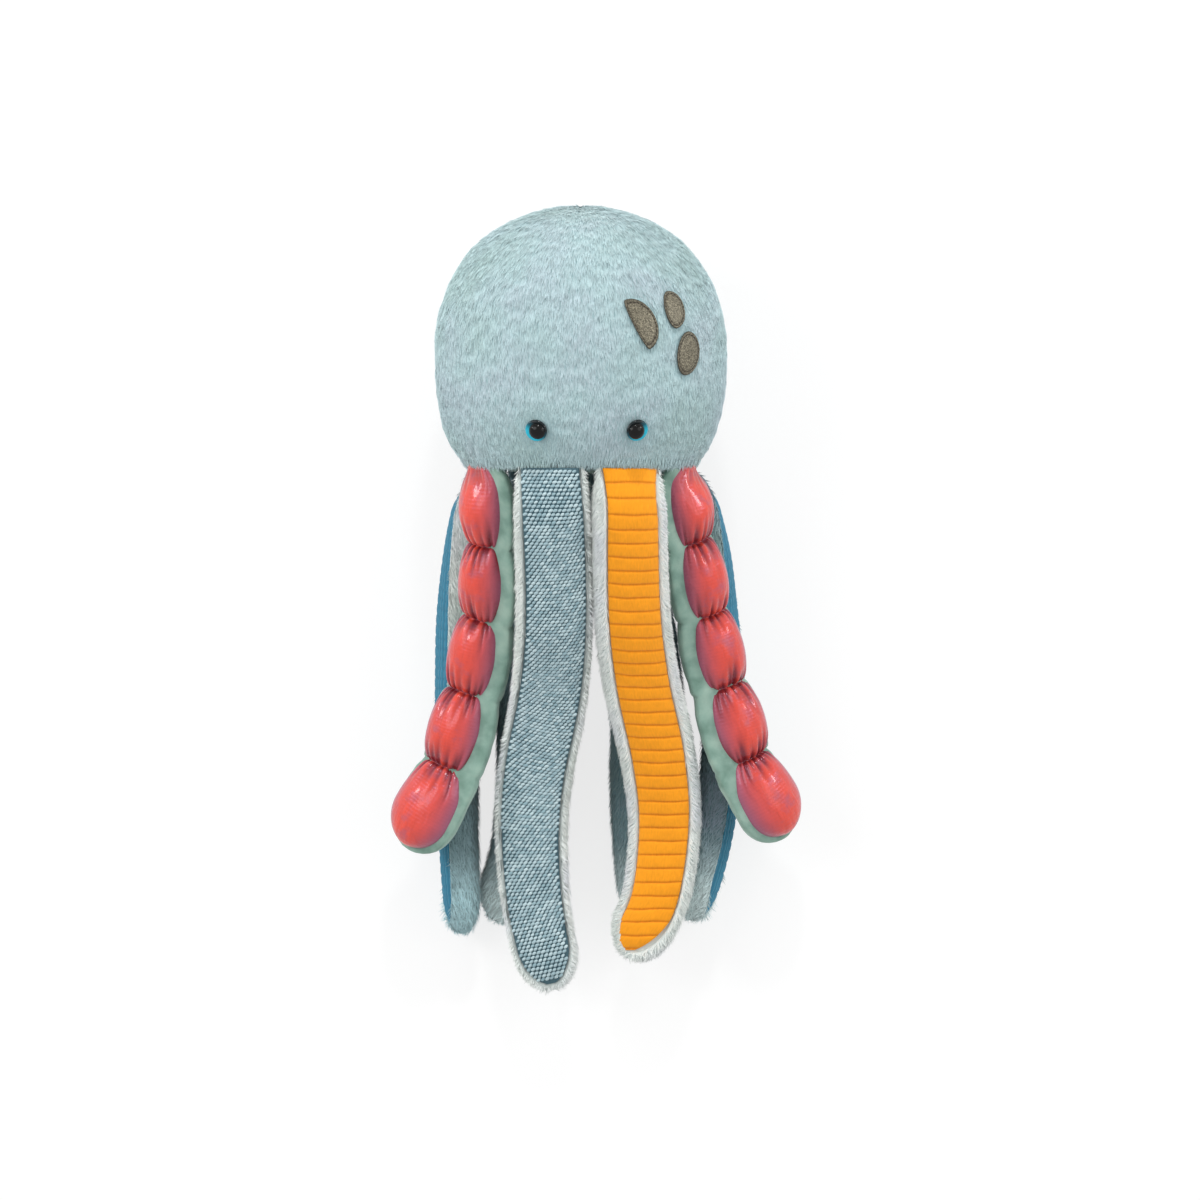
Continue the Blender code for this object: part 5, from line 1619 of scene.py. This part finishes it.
class JELLYFISH_OT_rear_tentacles(bpy.types.Operator):
    """Makes the corded tentacles at the sides and the two behind"""
    bl_idname = "jellyfish.rear_tentacles"
    bl_label = "Rear tentacles"

    def execute(self, context):
        settings = context.scene.plush_jellyfish
        for name, way, size, kind in (
            ("side_left_tentacle", BLUE_LEFT_WAY, SIDE_SIZE, "corded"),
            ("side_right_tentacle", BLUE_RIGHT_WAY, SIDE_SIZE, "corded"),
            ("back_left_tentacle", BACK_LEFT_WAY, FUR_SIZE, "ribbed"),
            ("back_right_tentacle", BACK_RIGHT_WAY, FUR_SIZE, "woven"),
        ):
            made = FurTentacle(name, way, 0.0, size, kind)
            # The left side tentacle and the others take the piles with painted shade and painted light.
            pile = pile_kind(settings, "side_shade" if name == "side_left_tentacle" else "shaded")
            made.make(settings, pile, panel_material(settings, kind))
        return {"FINISHED"}


STEPS = (
    JELLYFISH_OT_stage, JELLYFISH_OT_head, JELLYFISH_OT_eyes, JELLYFISH_OT_spots,
    JELLYFISH_OT_front_tentacles, JELLYFISH_OT_gathered_tentacles, JELLYFISH_OT_rear_tentacles,
)


class JELLYFISH_PT_steps(bpy.types.Panel):
    """Lists what makes the jellyfish, in order"""
    bl_label = "Plush jellyfish"
    bl_space_type = "VIEW_3D"
    bl_region_type = "UI"
    bl_category = "Jellyfish"

    def draw(self, context):
        for step in STEPS:
            self.layout.operator(step.bl_idname)


CLASSES = (
    PileSettings, ClothSettings, EyeSettings, StageSettings, JellyfishSettings,
    *STEPS, JELLYFISH_PT_steps,
)


def register():
    for made in CLASSES:
        bpy.utils.register_class(made)
    bpy.types.Scene.plush_jellyfish = PointerProperty(type=JellyfishSettings)


def unregister():
    del bpy.types.Scene.plush_jellyfish
    for made in reversed(CLASSES):
        bpy.utils.unregister_class(made)


def main():
    register()
    bpy.ops.jellyfish.stage()
    bpy.ops.jellyfish.head()
    bpy.ops.jellyfish.eyes()
    bpy.ops.jellyfish.spots()
    bpy.ops.jellyfish.front_tentacles()
    bpy.ops.jellyfish.gathered_tentacles()
    bpy.ops.jellyfish.rear_tentacles()


if __name__ == "__main__":
    main()
